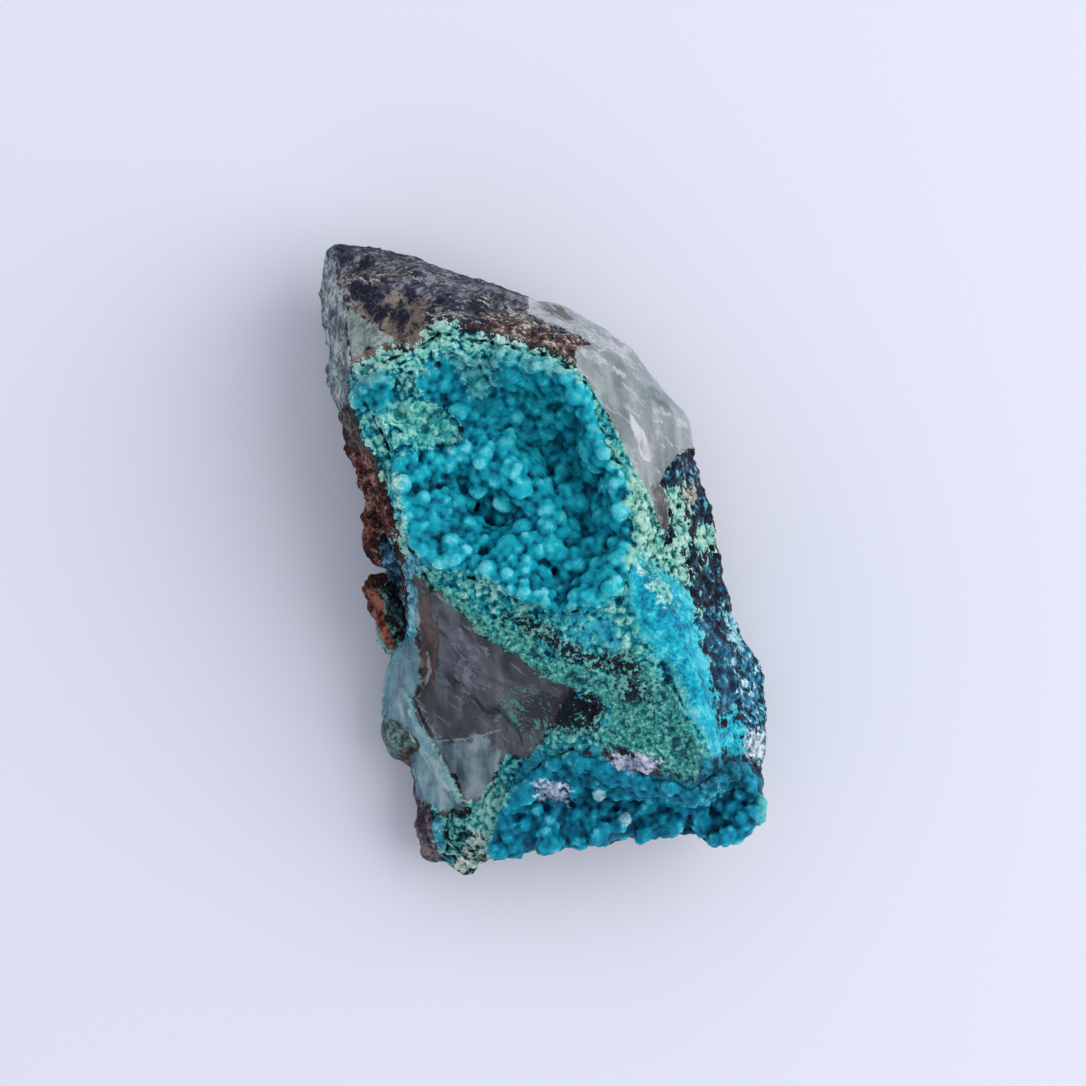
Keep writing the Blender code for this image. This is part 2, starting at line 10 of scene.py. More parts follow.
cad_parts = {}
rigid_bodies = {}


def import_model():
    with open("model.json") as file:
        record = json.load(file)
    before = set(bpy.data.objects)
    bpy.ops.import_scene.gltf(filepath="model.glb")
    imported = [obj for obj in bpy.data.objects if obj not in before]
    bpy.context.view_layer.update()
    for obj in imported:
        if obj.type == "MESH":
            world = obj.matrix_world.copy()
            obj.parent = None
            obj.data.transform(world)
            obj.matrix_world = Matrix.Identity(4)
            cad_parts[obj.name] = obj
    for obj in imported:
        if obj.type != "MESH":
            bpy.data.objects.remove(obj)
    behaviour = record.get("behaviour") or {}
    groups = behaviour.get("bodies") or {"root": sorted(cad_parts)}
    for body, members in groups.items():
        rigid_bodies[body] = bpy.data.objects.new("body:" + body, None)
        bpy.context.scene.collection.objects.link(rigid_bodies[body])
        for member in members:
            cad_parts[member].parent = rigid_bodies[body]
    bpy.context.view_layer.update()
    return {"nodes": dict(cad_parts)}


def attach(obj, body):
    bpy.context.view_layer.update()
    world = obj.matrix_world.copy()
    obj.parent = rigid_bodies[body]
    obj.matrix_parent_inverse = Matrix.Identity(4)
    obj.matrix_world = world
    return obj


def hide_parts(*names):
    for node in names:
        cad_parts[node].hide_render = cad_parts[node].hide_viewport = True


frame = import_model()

# A broken block of quartz and copper-stained rock with two hollows, each lined with round chrysocolla beads.
# Lengths are written in millimetres and stored in metres. +Y is towards the sharp tip, and the block lies on
# its flat base.
mm = 0.001
noise.seed_set(6)

# Where each kind of mineral shows, as outlines seen from above, in millimetres.
zones = {
    "beadedArea": [
        [(-14.8, 23.8), (-12.9, 25), (-10.1, 25.3), (-7.9, 24.5), (-5.4, 25.8), (-0.6, 25.4), (1.9, 24),
         (4.4, 22.3), (6.3, 20.6), (6.5, 18.1), (6.9, 16.1), (8.1, 14), (9.5, 11.4), (10.8, 9.5),
         (11, 7.8), (10.8, 5.1), (11.1, 2.5), (11.5, -0.1), (10.5, -2.1), (10, -4.4), (6.9, -6.3),
         (4.4, -6), (2.1, -6.8), (0.5, -6.1), (-2.4, -5.4), (-5.3, -3.9), (-7.1, -2.5), (-11.1, -1.6),
         (-14.3, -1.6), (-15.9, 0.5), (-16.9, 1.9), (-17.9, 4.8), (-18.4, 6.5), (-19.1, 9.4), (-19, 12),
         (-16, 13.3), (-12.9, 13.5), (-10.1, 14.5), (-9.8, 16.3), (-11.4, 18.5), (-13.4, 19.5),
         (-15.4, 20), (-15.6, 21.6)],
        [(-23.6, 22.5), (-21.4, 23.5), (-18.5, 22.5), (-18.3, 19.3), (-20.4, 18.3), (-23.1, 18.8)],
    ],
    "lowerBeaded": [
        [(-8, -38.4), (-6.6, -33.4), (-4.2, -29), (0, -25.4), (3.6, -23.6), (7.4, -24.6), (11, -26),
         (14.8, -27), (18.6, -27.8), (21, -27), (22.8, -24.8), (25.6, -25.4), (28.4, -28), (28.4, -37.4),
         (-3, -38.6)],
    ],
    "brownFace": [
        [(-28.9, 40.5), (-15.4, 38.5), (-9.1, 36.2), (-1.9, 33), (0.2, 32), (4, 30), (7.1, 27.2),
         (5.9, 26.2), (4.6, 24.5), (3.9, 23.8), (2.4, 24.2), (0.2, 25), (-2, 25.6), (-5.5, 26.6),
         (-8, 27.8), (-11.1, 28.5), (-13.8, 28.4), (-15.2, 24.9), (-18.8, 25.5), (-21.9, 23.8),
         (-24.1, 23), (-24.6, 27.5), (-25.4, 31.6), (-26, 35.4), (-27.1, 37.8)],
    ],
    "tanPatch": [
        [(-22.6, 32.2), (-19.8, 33.2), (-16.6, 32.2), (-14, 31.8), (-13.9, 28.5), (-14.9, 25.6),
         (-17.9, 25.8), (-19.8, 24.8), (-22.1, 24), (-23.9, 23.8), (-24, 26), (-21.4, 27.5),
         (-19.4, 28.5), (-22.1, 30.2)],
    ],
    "navyPatch": [
        [(-21.4, 34), (-15.4, 34.5), (-9.1, 32.8), (-9.6, 31.5), (-14.1, 32), (-18.4, 32.2), (-21.1, 32.5)],
        [(-28.1, 39.4), (-25.9, 39.4), (-26.1, 37.5), (-27.9, 37.5)],
    ],
    "greyTriangle": [
        [(-24.8, 31.2), (-22.9, 30.2), (-18.4, 27.2), (-20.9, 26.5), (-23.9, 25), (-24.5, 27.9)],
    ],
    "rustBand": [
        [(-9.6, 29.5), (-5.4, 30), (-1.6, 29), (2.4, 27.8), (5.4, 27), (4.6, 24.5), (2.4, 24.5),
         (-2, 25.8), (-5.5, 26.8), (-9.4, 28)],
        [(-0.2, 31.8), (2.1, 31.4), (4.1, 30), (3.1, 29.4), (0.6, 30.2)],
    ],
    "leftStrip": [
        [(-28.9, 40.2), (-27.1, 38.5), (-26.2, 37), (-25.6, 34.1), (-24.9, 30.8), (-24.2, 27.2),
         (-23.9, 24), (-23.4, 20), (-24.1, 18.2), (-25.4, 17.8), (-26.6, 19), (-28.1, 26), (-29.4, 34.8)],
    ],
    "rustFlank": [
        [(-27.1, 19.8), (-24.8, 18.8), (-23.4, 16), (-21.9, 13.2), (-20.1, 10.2), (-18.6, 7.2),
         (-17.9, 4.1), (-17.4, 0.2), (-16.5, -2.8), (-16.5, -5.9), (-17.6, -8.8), (-18.6, -13.2),
         (-21.4, -13.2), (-23.5, -7.8), (-23.5, 5.4), (-22.6, 9.8), (-24.8, 14.8)],
    ],
    "greenCrust": [
        [(-24.1, 23), (-21.9, 24), (-18.8, 25.8), (-15.2, 25), (-13.9, 28.6), (-11, 28.9), (-7.9, 28.1),
         (-5.4, 27), (-2, 26), (0.4, 25.4), (2.4, 24.4), (4.6, 22.6), (6.9, 20.8), (8.4, 18),
         (9.9, 14.8), (12.1, 11), (13.4, 8.2), (14.6, 4.8), (15.6, 1.6), (18.4, -0.2), (18.9, -3.4),
         (18.4, -6.5), (18.9, -9), (20.1, -12.8), (21.1, -16.5), (21.9, -20.2), (21.9, -24.2),
         (21.1, -26.4), (18.4, -27.5), (15.1, -26.5), (12.9, -24.5), (10.1, -24), (7.9, -23.5),
         (5.1, -24), (2.9, -26.2), (-0.4, -27.8), (-2.9, -30.2), (-4.8, -31.8), (-6.4, -29.2),
         (-4.4, -24.2), (-2.1, -24.9), (-0.4, -23), (0.6, -20.5), (3.6, -16.5), (0.5, -15.6),
         (-2.1, -13.2), (-3.8, -12), (-6.1, -11), (-8.1, -9.4), (-10, -6.8), (-13.8, -3.8),
         (-15.6, -1.5), (-16.9, 1.6), (-18.2, 6), (-19.4, 9.1), (-20.6, 12.9), (-22.6, 16), (-23.9, 19.8)],
    ],
    "blackBands": [
        [(-4.8, -7), (-2.1, -7.4), (0.5, -8.2), (3, -10.6), (5.8, -11.9), (10.6, -12.1), (11.9, -13.8),
         (10.9, -15.8), (9.4, -14.2), (7.1, -13.8), (4.6, -13.2), (2.1, -12), (-0.4, -9.8), (-2.9, -8.5),
         (-4.8, -8)],
        [(9.6, -15.2), (12.5, -15.4), (12.8, -17.2), (10.6, -18), (9.4, -17)],
        [(-2.1, -17), (0.2, -16.2), (2.2, -16), (5.9, -16.5), (7.9, -18.2), (7.6, -19.8), (5.8, -21.4),
         (1, -21.1), (-2.1, -21.5), (-3.1, -19.2)],
        [(12.8, -17), (13.6, -17), (13.6, -17.9), (12.8, -17.9)],
    ],
    "bluePocket": [
        [(6.8, -7.8), (8.4, -8), (9.1, -10.2), (7.6, -11), (6.6, -9.8)],
        [(4.4, -8.5), (5.9, -9), (5.4, -10.2), (4.1, -9.8)],
        [(-23.9, 22.8), (-21.4, 23.2), (-18.6, 22.5), (-18.4, 19.5), (-20.4, 18.2), (-23.1, 18.5)],
        [(-0.4, -5.2), (2.9, -6), (5.9, -5.2), (7.1, -6.8), (3.9, -8), (0.6, -7.2)],
        [(-4.4, -27.1), (-1.6, -24.2), (2.8, -23.8), (7.1, -24.2), (6.6, -26), (2.1, -26.8), (-1.6, -29),
         (-3.9, -30.2)],
    ],
    "mintPatches": [
        [(10.9, 9.5), (12.4, 9.5), (13.4, 7.8), (14.6, 5.4), (15.6, 2.2), (18.1, 0.5), (19.1, -1.8),
         (18.6, -3.8), (16.6, -3.2), (15.1, -1.8), (13.1, -0.5), (11.4, -2), (10.5, -0.2), (10.9, 3.5),
         (10.6, 7.2)],
        [(14.6, 8.8), (17.1, 8.5), (17.9, 4.8), (16.1, 3.5), (14.9, 6)],
        [(15.6, 4.2), (17.6, 3.8), (17.9, 1.2), (16.1, 0.8)],
        [(18.1, 3), (21.1, 3.4), (21.9, 1.6), (20.1, 0.6), (18.4, 1.1)],
        [(16.4, -4.5), (18.4, -5), (18.9, -7), (17.1, -6.8)],
        [(19.6, -10.2), (21.1, -11.5), (20.6, -13)],
    ],
    "navySlope": [
        [(18.4, 16), (20.1, 14.8), (21.6, 12.2), (23.1, 7.2), (25.2, -0.2), (26.9, -7.8), (29, -15.2),
         (29, -25.2), (28.1, -30.9), (25.2, -30.2), (23.1, -28.5), (22.1, -26.2), (21.9, -24.2),
         (22.4, -22.8), (22, -20), (21.1, -15.8), (20.1, -12.1), (18.9, -9), (18.4, -5.9), (17.6, -3.4),
         (15.6, -1), (15.1, 1.6), (14.6, 3.8), (14.6, 6.2), (14.1, 8.5), (14.9, 11), (16.8, 13.1)],
    ],
    "slateSheen": [
        [(17.9, -8.5), (19.6, -7.2), (22.6, -10.2), (24.4, -14), (24.9, -18.8), (22.9, -19.8),
         (21.4, -16.5), (20.1, -12.1)],
    ],
    "edgeSpeckle": [
        [(22.4, -3.8), (24.6, -5.2), (26.6, -10.2), (29, -14), (29, -26.2), (25.6, -26.8), (24.4, -22.1),
         (24.4, -16.5), (23.4, -11.5)],
        [(19.1, 15.8), (21.1, 13.5), (21.9, 9.8), (20.6, 10.2), (19.6, 12.8)],
    ],
    "whitePatch": [
        [(24.9, -21.2), (27.6, -21), (27.9, -25), (25.9, -25.5), (24.9, -23.8)],
    ],
    "cyanSlope": [
        [(10.6, -1), (11.6, 0.5), (12.9, -0.5), (14.9, -1.8), (17.4, -3.8), (18.4, -5.9), (18.9, -9),
         (20.1, -12.1), (21.1, -15.8), (22, -20), (22.5, -22.8), (22, -24.5), (21, -26), (20.6, -23.4),
         (19.6, -21.1), (18, -20), (17, -16.4), (15.1, -12.9), (12.9, -10.6), (11.6, -8), (10.9, -5)],
        [(22.4, -19.8), (24.1, -19.2), (25.1, -21.5), (24.9, -24.2), (22.9, -24.8)],
    ],
    "palePatch": [
        [(-19, 18.9), (-16.9, 19.9), (-13.1, 18.9), (-10, 16.1), (-10.2, 14.4), (-15, 13.6),
         (-17.4, 15.9), (-19, 17.5)],
        [(-9.4, 23), (-6.8, 23.2), (-6.5, 20.2), (-8.6, 19.8), (-9.6, 21.2)],
    ],
    "paleBlue": [
        [(-15.9, -5.8), (-16.5, -9), (-18.1, -11.6), (-19.8, -15.1), (-20.6, -19.5), (-18.9, -20),
         (-17.4, -20.8), (-16, -24), (-14.8, -29), (-12.6, -32.2), (-10, -31.2), (-11.6, -27.8),
         (-13.9, -23.5), (-16.4, -18.5), (-15.4, -15.8), (-15.5, -10.9)],
    ],
    "seamBlue": [
        [(-17.4, -0.2), (-15.6, 0.5), (-15.2, -5.2), (-15.9, -10.2), (-17.4, -12.4), (-18.9, -13),
         (-17.6, -9.8), (-16.9, -6.5)],
        [(-14.5, -28.8), (-13.1, -29), (-12.4, -36.6), (-13.6, -36.9), (-14.6, -32.8)],
    ],
    "knobGreen": [
        [(-21.1, -17.8), (-18.4, -17.8), (-17, -21.2), (-16.4, -26.2), (-18.6, -26.5), (-20.9, -23.8)],
    ],
    "smokyQuartz": [
        [(-15.8, -2.2), (-13.8, -3.8), (-10, -6.8), (-8.1, -9.4), (-6.1, -11), (-3.8, -12),
         (-2.1, -13.2), (0.5, -15.6), (3.6, -16.4), (1.6, -19.2), (-0.6, -23.2), (-2.1, -25),
         (-4.5, -24.2), (-5.5, -27.4), (-7.6, -29.2), (-8.5, -30.2), (-10.2, -31), (-11.6, -27.8),
         (-13.9, -23.5), (-16.4, -18.5), (-14.9, -15.2), (-14.9, -10.2), (-16.1, -7.8)],
    ],
    "quartzShoulder": [
        [(-2.8, 33.2), (0.6, 32.5), (4.1, 31.5), (7.6, 30), (11.1, 27.5), (14.4, 23), (17.1, 20.2),
         (19.6, 18.2), (19.6, 15.2), (17.2, 13.2), (15.1, 11), (14.6, 9.2), (15.6, 7.2), (15.6, 2.5),
         (14.2, 4.8), (13.4, 7.2), (12.9, 8.5), (11.6, 10.5), (10.1, 13.6), (8.5, 16.8), (7, 19.6),
         (5.4, 22.1), (4, 24), (4.2, 26), (6.1, 26.6), (4, 27.8), (0.9, 29), (-1.9, 30.6)],
    ],
    "smokyBrown": [
        [(-15.9, -2.2), (-14.5, -2.2), (-13.5, -5.2), (-13.5, -10.6), (-14.1, -16.8), (-15.4, -17.2),
         (-15.5, -11.5), (-15.6, -6.5)],
    ],
    "cornerDark": [
        [(-16, -27.1), (-14.4, -29), (-12.9, -31.8), (-10.1, -31), (-7.6, -31.5), (-7.1, -35.2),
         (-7.9, -40.2), (-11.6, -40.9), (-14.8, -39.6), (-16.4, -34)],
    ],
    "cornerGreen": [
        [(-9.1, -30.2), (-7.4, -29.2), (-5.6, -27.2), (-3.9, -29), (-2.4, -31.2), (-2.9, -34.8),
         (-4.9, -36.8), (-7.4, -37.5), (-9.1, -35.2)],
    ],
    "paleFringe": [
        [(-9.1, -35), (-5.4, -34.8), (-1.6, -34.2), (0.6, -35.5), (-4.1, -38), (-7.4, -40.2),
         (-10.1, -40.5), (-11.6, -39.2)],
    ],
    "quartzGreen": [
        [(11.9, 21.8), (14, 21.5), (16.4, 20.2), (15.6, 18.8), (13.1, 19.5)],
    ],
    # a white flash where light reflects off cracks inside the quartz: painted reflection
    "quartzFlash": [
        [(10.4, 18.4), (11.4, 17.4), (12.5, 15.6), (13.2, 13.9), (13.8, 12.2), (13.1, 11.8),
         (12.2, 12.4), (11.8, 14.2), (11, 16.2)],
        [(13.2, 13.5), (13.4, 14.8), (14, 15.8), (14.5, 16.5), (14.4, 15.1), (14, 13.9), (13.6, 12.6)],
        [(13.6, 17.2), (14.4, 17.6), (14.9, 17.4), (14.1, 16.9)],
        [(12.1, 22.2), (12.9, 22.8), (13.1, 22.2), (12.4, 21.8)],
    ],
    "quartzPale": [
        [(-2.8, 33.2), (0.6, 32.5), (4.1, 31.5), (7.6, 30), (11.1, 27.5), (14.4, 23), (16.1, 20.8),
         (14, 21.2), (11.4, 24), (8.4, 25.8), (4.6, 27.2), (0.9, 29), (-1.9, 30.6)],
    ],
    "quartzBrown": [
        [(13.6, 9.2), (14.9, 8.8), (15.8, 5.4), (15.6, 2), (14.2, 4.5)],
        [(-0.2, 31.8), (2.1, 31.4), (4.1, 30), (3.1, 29.4), (0.6, 30.2)],
    ],
    "lilacClouds": [
        [(-11.4, -10.2), (-9.1, -9.8), (-7.9, -11.8), (-8.1, -15.8), (-10.4, -16.5), (-11.6, -13.8)],
    ],
    "greyTeal": [
        [(-14.4, -22.5), (-11.9, -23.2), (-8.1, -22.5), (-5.4, -24.8), (-5.5, -27.4), (-8.5, -30.2),
         (-10.2, -31), (-12.1, -27.2)],
    ],
    "lilacBare": [
        [(-1.1, -27.8), (1.6, -27.6), (3.6, -29), (3.4, -30.9), (0.9, -31), (-0.9, -29.5)],
        [(8.1, -24), (11.6, -23.8), (14.6, -24.8), (14.1, -26.5), (10.9, -27.1), (8.4, -26)],
    ],
    "paleCluster": [
        [(18.6, -28.1), (21.4, -27.8), (23.2, -29.2), (22.6, -31), (19.6, -31)],
    ],
    "paleEdge": [
        [(26.4, -29.5), (28.1, -29.5), (28.1, -33), (26.6, -34.8), (25.6, -34.5), (26.6, -32)],
    ],
    # the hollow under the ledge's tip: painted shade over its dark teal crust
    "deepCavity": [
        [(19.4, -24.8), (25.1, -24.8), (25.4, -29), (22.1, -28.2), (19.4, -29)],
    ],
    "ledge": [
        [(-14.9, -1), (-11.6, -4.2), (-8.1, -7.2), (-4.8, -8.8), (-1.6, -10.2), (1.6, -12.8),
         (5.9, -13.8), (8.6, -14.8), (10.9, -13.8), (12.9, -12.8), (14.6, -14.8), (16.6, -17.8),
         (18.4, -20.5), (19.9, -23.4), (21.1, -26.4), (18.4, -27.5), (15.1, -26.5), (12.9, -24.8),
         (10.1, -24), (7.9, -23.5), (7.1, -21.5), (8.1, -18.5), (5.9, -16.5), (2.1, -15.8), (0.5, -15.6),
         (-2.1, -13.2), (-6.1, -11), (-10, -6.8), (-13.8, -3.8)],
    ],
    "frost": [
        [(15.6, -11.8), (18.4, -17.8), (20.4, -22.8), (21.6, -25.5), (20.6, -26.2), (19.6, -23.4),
         (17.6, -18.4), (15.9, -14.2)],
    ],
    "knifeRidge": [
        [(-17.6, -16.5), (-16.4, -17.8), (-15.4, -20.5), (-13.9, -23), (-11.9, -26.5), (-9.9, -30.5),
         (-10.9, -30.8), (-12.9, -27.8), (-14.9, -24.2), (-16.6, -20.5)],
    ],
    "flakeGreen": [
        [(-21.6, -6.8), (-19.9, -7.4), (-18.1, -9), (-17.6, -11), (-18.4, -13.5), (-20, -12),
         (-21.2, -9.8)],
    ],
    "flakeBlue": [
        [(-20.9, 3.1), (-18.9, 2.5), (-17.9, -0.5), (-17.6, -3.2), (-18.9, -3.5), (-20.1, -0.5)],
    ],
    "crackLine": [
        [(-13.9, -23), (-9.6, -22.6), (-5.4, -21.5), (-5.2, -21.6), (-9.5, -22.9), (-13.9, -23.1)],
        [(-14.5, -11.5), (-14.1, -14.2), (-14.9, -16.5), (-15, -16.4), (-14.4, -14.2), (-14.6, -11.8)],
    ],
    "flecksWhite": [
        [(-3.4, -17.1), (-2.2, -16.9), (-2.4, -17.2), (-3.2, -17.6)],
        [(-6.1, -19.9), (-5.4, -20), (-5.9, -20.2)],
        [(-11, -13), (-9.1, -12.5), (-8.6, -14), (-10.1, -15.8), (-10.9, -14.8)],
    ],
    # bright lines along the quartz's facet edges: painted highlights
    "clearStreaks": [
        [(4.6, 25.9), (6.2, 26.1), (7.1, 25), (8.6, 24), (10.4, 22.8), (10.1, 22.4), (8.2, 23.4),
         (6.8, 24.2), (5.1, 25)],
        [(9.8, 25.2), (11.1, 25), (12, 24), (11.4, 23.6), (10.1, 24.5)],
        [(13.4, 18.9), (13.8, 18.8), (14.2, 17.6), (13.9, 17.5)],
        [(14.1, 17.1), (15, 17.1), (15, 16.8), (14.1, 16.8)],
        [(14.8, 19.2), (15.6, 18.2), (15.4, 17.8), (14.5, 18.8)],
        [(16.1, 17.8), (18.4, 16.8), (18.6, 16), (16.6, 16.8)],
        [(-1.9, 31.5), (0.4, 30.8), (2.9, 29.2), (4.6, 28.5), (4.1, 28.1), (1.6, 29), (-0.9, 30)],
    ],
    "cornerBrown": [
        [(-16, -28.4), (-14.6, -28.5), (-14.1, -30.2), (-13.8, -34.6), (-13, -36.8), (-12.6, -38.2),
         (-13.6, -39), (-14.6, -38.5), (-15.2, -35.9), (-15.6, -31.8)],
    ],
    "cornerBlue": [
        [(-14.4, -28.8), (-13.5, -29), (-13.1, -30.2), (-13.8, -31.8), (-14.4, -30.8)],
        [(-13.9, -32.1), (-12.9, -32.8), (-12.6, -35), (-12.6, -37.2), (-13.2, -36.8), (-13.9, -34.5)],
    ],
    "tipDark": [
        [(-28.2, 39.5), (-26.6, 40), (-24.4, 39.4), (-23.9, 37.5), (-26.1, 36.2), (-27.6, 37)],
    ],
    "topEdge": [
        [(-27.9, 39.4), (-24.8, 39.4), (-15.4, 38.2), (-9.1, 36), (-1.6, 32.8), (-2.6, 31), (-9.1, 33.8),
         (-15.4, 35.5), (-20.4, 36.2), (-26, 36.8)],
        [(-21.4, 34), (-17.9, 34.2), (-12.9, 33.2), (-9.1, 32.2), (-5.4, 30.8), (-7.9, 30),
         (-12.9, 31.5), (-17.9, 32.2), (-20.9, 32.2)],
    ],
    "paleBalls": [
        [(6.1, -29.6), (6.4, -29), (6.9, -28.8), (7.5, -29), (7.8, -29.6), (7.5, -30.2), (6.9, -30.5),
         (6.4, -30.2)],
        [(9.6, -32.6), (9.9, -32.1), (10.4, -31.9), (10.9, -32.1), (11.1, -32.6), (10.9, -33.2),
         (10.4, -33.5), (9.9, -33.2)],
        [(2.4, -30.2), (2.9, -30), (3.2, -30.4), (2.9, -30.8)],
    ],
    # darker teal on the upper hollow's walls: painted shade on the wall facing away from the light, and the
    # greener teal of its upper side
    "tealDeep": [
        [(-14.8, 24), (-9.1, 25.8), (-2.9, 26), (2.1, 22.9), (5.9, 17.2), (7.1, 11), (4.6, 7.2),
         (-0.4, 11), (-5.4, 14.8), (-9.1, 17.2), (-12.9, 19.8)],
        [(-22.9, 21.5), (-20.4, 22.2), (-18.1, 21.2), (-18.4, 19.5), (-21.1, 19), (-22.9, 19.8)],
        [(2.1, 7.2), (7.1, 7.2), (9.6, 2.2), (7.1, -4), (3.4, -0.2)],
    ],
    "rimShade": [
        [(-15.6, -1), (-13.8, -3.8), (-10, -6.8), (-6.1, -11), (-2.1, -13.2), (-2.4, -13.8),
         (-6.6, -11.8), (-10.6, -7.5), (-14.6, -4.2), (-16.1, -1.8)],
    ],
    "cyanLine": [
        [(-16.6, -3.2), (-15.9, -3.6), (-15.8, -5.8), (-15.8, -8.5), (-16.1, -9.5), (-17.2, -11),
         (-18.4, -12.8), (-19.1, -15), (-19.6, -17.8), (-20, -20), (-20.6, -19.8), (-20.2, -17.2),
         (-19.6, -14.2), (-18.9, -12.8), (-17.6, -10.5), (-16.5, -8.5), (-16.4, -5.8)],
    ],
    "azurite": [
        [(17.6, 14), (19.6, 15.5), (21.1, 13.2), (21.1, 10.2), (18.9, 9.5), (17.1, 11)],
    ],
    "edgeLine": [
        [(22.4, -5.5), (23.2, -5.8), (24.4, -8.8), (25.5, -11.8), (24.9, -12.1), (23.8, -9.8),
         (22.9, -7.5)],
    ],
    "rustRim": [
        [(-22, 4.2), (-21.1, 3.5), (-21.4, 1.8), (-20.4, -0.2), (-19.9, -1.2), (-20.6, -1.2),
         (-21.6, 0.8), (-22.1, 2.8)],
        [(-21.8, -3.8), (-21.1, -3.2), (-20.4, -5.2), (-19.9, -8), (-18.9, -10.2), (-18.1, -11.8),
         (-18.8, -12.2), (-19.9, -10.5), (-20.9, -8.2), (-21.6, -5.9)],
    ],
    "blackSpots": [
        [(-19, 30.8), (-17.4, 31), (-16.5, 30.4), (-17, 29.5), (-17.4, 28.1), (-18, 28), (-18.1, 29),
         (-17.9, 29.9), (-18.5, 29.6), (-19, 29)],
        [(-22.2, 31.9), (-21.1, 32.1), (-20.4, 31), (-21.1, 30.2), (-21.9, 30.8)],
        [(-19.9, 31.5), (-19, 31.4), (-18.9, 30.8), (-19.8, 30.8)],
        [(-23.9, 34.2), (-22.1, 34.5), (-20.6, 33.5), (-19.9, 32.5), (-20.9, 31.5), (-22.6, 32.2),
         (-23.9, 32.8)],
        [(-17.6, 27), (-17.1, 27.1), (-17.2, 26.5)],
        [(-16.1, 25), (-15.4, 26), (-14.4, 26.5), (-14.1, 28), (-13.6, 28.5), (-13.4, 27.5),
         (-14.1, 25.8), (-15.1, 24.8)],
    ],
    "flakeDark": [
        [(-20.8, -3.2), (-18.9, -3.4), (-16.8, -5), (-16.4, -7.8), (-17.9, -9), (-19.6, -7.5),
         (-20.4, -5.5)],
    ],
    "tanSpot": [
        [(17.1, 9), (18.4, 9.4), (19.2, 8.2), (18.9, 7), (17.6, 7.2)],
    ],
    "paleRind": [
        [(-23.6, 23), (-21.4, 24.5), (-19.1, 26), (-17.4, 26.5), (-16, 25.5), (-14.9, 27), (-14.1, 29.5),
         (-13.4, 29), (-12.1, 29.5), (-10.4, 29), (-8.6, 28), (-6.1, 27.2), (-3.9, 26.5), (-1.1, 25.5),
         (1.1, 24.5), (2.6, 23.2), (1.6, 22.8), (-1.1, 23.8), (-3.9, 24.5), (-5.6, 24.2), (-6.1, 21.5),
         (-7.6, 20.8), (-9.1, 20.2), (-9.9, 22.2), (-10.6, 24.2), (-12.1, 25), (-13.4, 24.5),
         (-14.9, 22.8), (-15.8, 21), (-17.4, 20.2), (-18.9, 22.5), (-20.9, 21.8), (-23.1, 21.2)],
        [(-18.9, 11), (-18.1, 10.5), (-17.6, 7.2), (-17.1, 3.5), (-16.4, 0.2), (-14.9, -1.2),
         (-12.1, -2.2), (-12.9, -3), (-15.4, -2.2), (-17.1, -0.5), (-18.1, 3.5), (-18.6, 7.2)],
        [(12.1, -1), (14, -2), (15.6, -3.8), (16.5, -6), (15.9, -7), (14.4, -5.2), (13.1, -3.5)],
        [(17.6, -26.4), (19.6, -25.9), (21.1, -25.5), (21.2, -26), (19.6, -26.5), (17.9, -26.9)],
    ],
}


def linear(hexColour):
    parts = [int(hexColour[i:i + 2], 16) / 255 for i in (0, 2, 4)]
    return [c / 12.92 if c <= 0.04045 else ((c + 0.055) / 1.055) ** 2.4 for c in parts] + [1.0]


def addNode(tree, kind, settings=None, links=None):
    # sets sockets by name or number, properties by name and a ramp's stops; then links or sets the inputs
    made = tree.nodes.new("ShaderNode" + kind)
    for key, value in (settings or {}).items():
        if key == "stops":
            ramp = made.color_ramp
            while len(ramp.elements) < len(value):
                ramp.elements.new(0.5)
            for element, (position, colour) in zip(ramp.elements, value):
                element.position = position
            for element, (position, colour) in zip(ramp.elements, value):
                element.color = linear(colour)  # after all the positions, which sort the stops
        elif isinstance(key, int) or (key in made.inputs and not hasattr(made, key)):
            made.inputs[key].default_value = value
        else:
            setattr(made, key, value)
    for key, source in (links or {}).items():
        if isinstance(source, float):
            made.inputs[key].default_value = source
        else:
            tree.links.new(source, made.inputs[key])
    return made


def selectOnly(piece):
    bpy.ops.object.select_all(action="DESELECT")
    piece.select_set(True)
    bpy.context.view_layer.objects.active = piece


def applyModifier(piece, kind, **settings):
    selectOnly(piece)
    modifier = piece.modifiers.new(kind.title(), kind)
    for key, value in settings.items():
        setattr(modifier, key, value)
    bpy.ops.object.modifier_apply(modifier=modifier.name)


def copyOfNode(nodeName, pieceName):
    # a CAD node is loose triangles, so its copy is merged before anything else
    piece = bpy.data.objects.new(pieceName, frame["nodes"][nodeName].data.copy())
    bpy.context.scene.collection.objects.link(piece)
    piece.data.materials.clear()
    selectOnly(piece)
    bpy.ops.object.mode_set(mode="EDIT")
    bpy.ops.mesh.select_all(action="SELECT")
    bpy.ops.mesh.remove_doubles(threshold=0.002 * mm)
    bpy.ops.object.mode_set(mode="OBJECT")
    return piece


def pointsOf(piece):
    flat = np.zeros(len(piece.data.vertices) * 3, np.float32)
    piece.data.vertices.foreach_get("co", flat)
    return flat.reshape(-1, 3) / mm


def normalsOf(piece):
    flat = np.zeros(len(piece.data.vertices) * 3, np.float32)
    piece.data.vertex_normals.foreach_get("vector", flat)
    return flat.reshape(-1, 3)


def triangleCount(piece):
    return sum(len(face.vertices) - 2 for face in piece.data.polygons)


def remesh(piece, voxel):
    applyModifier(piece, "REMESH", mode="VOXEL", voxel_size=voxel * mm, use_smooth_shade=True)


def smooth(piece, rounds, group=""):
    applyModifier(piece, "SMOOTH", factor=0.5, iterations=rounds, vertex_group=group)


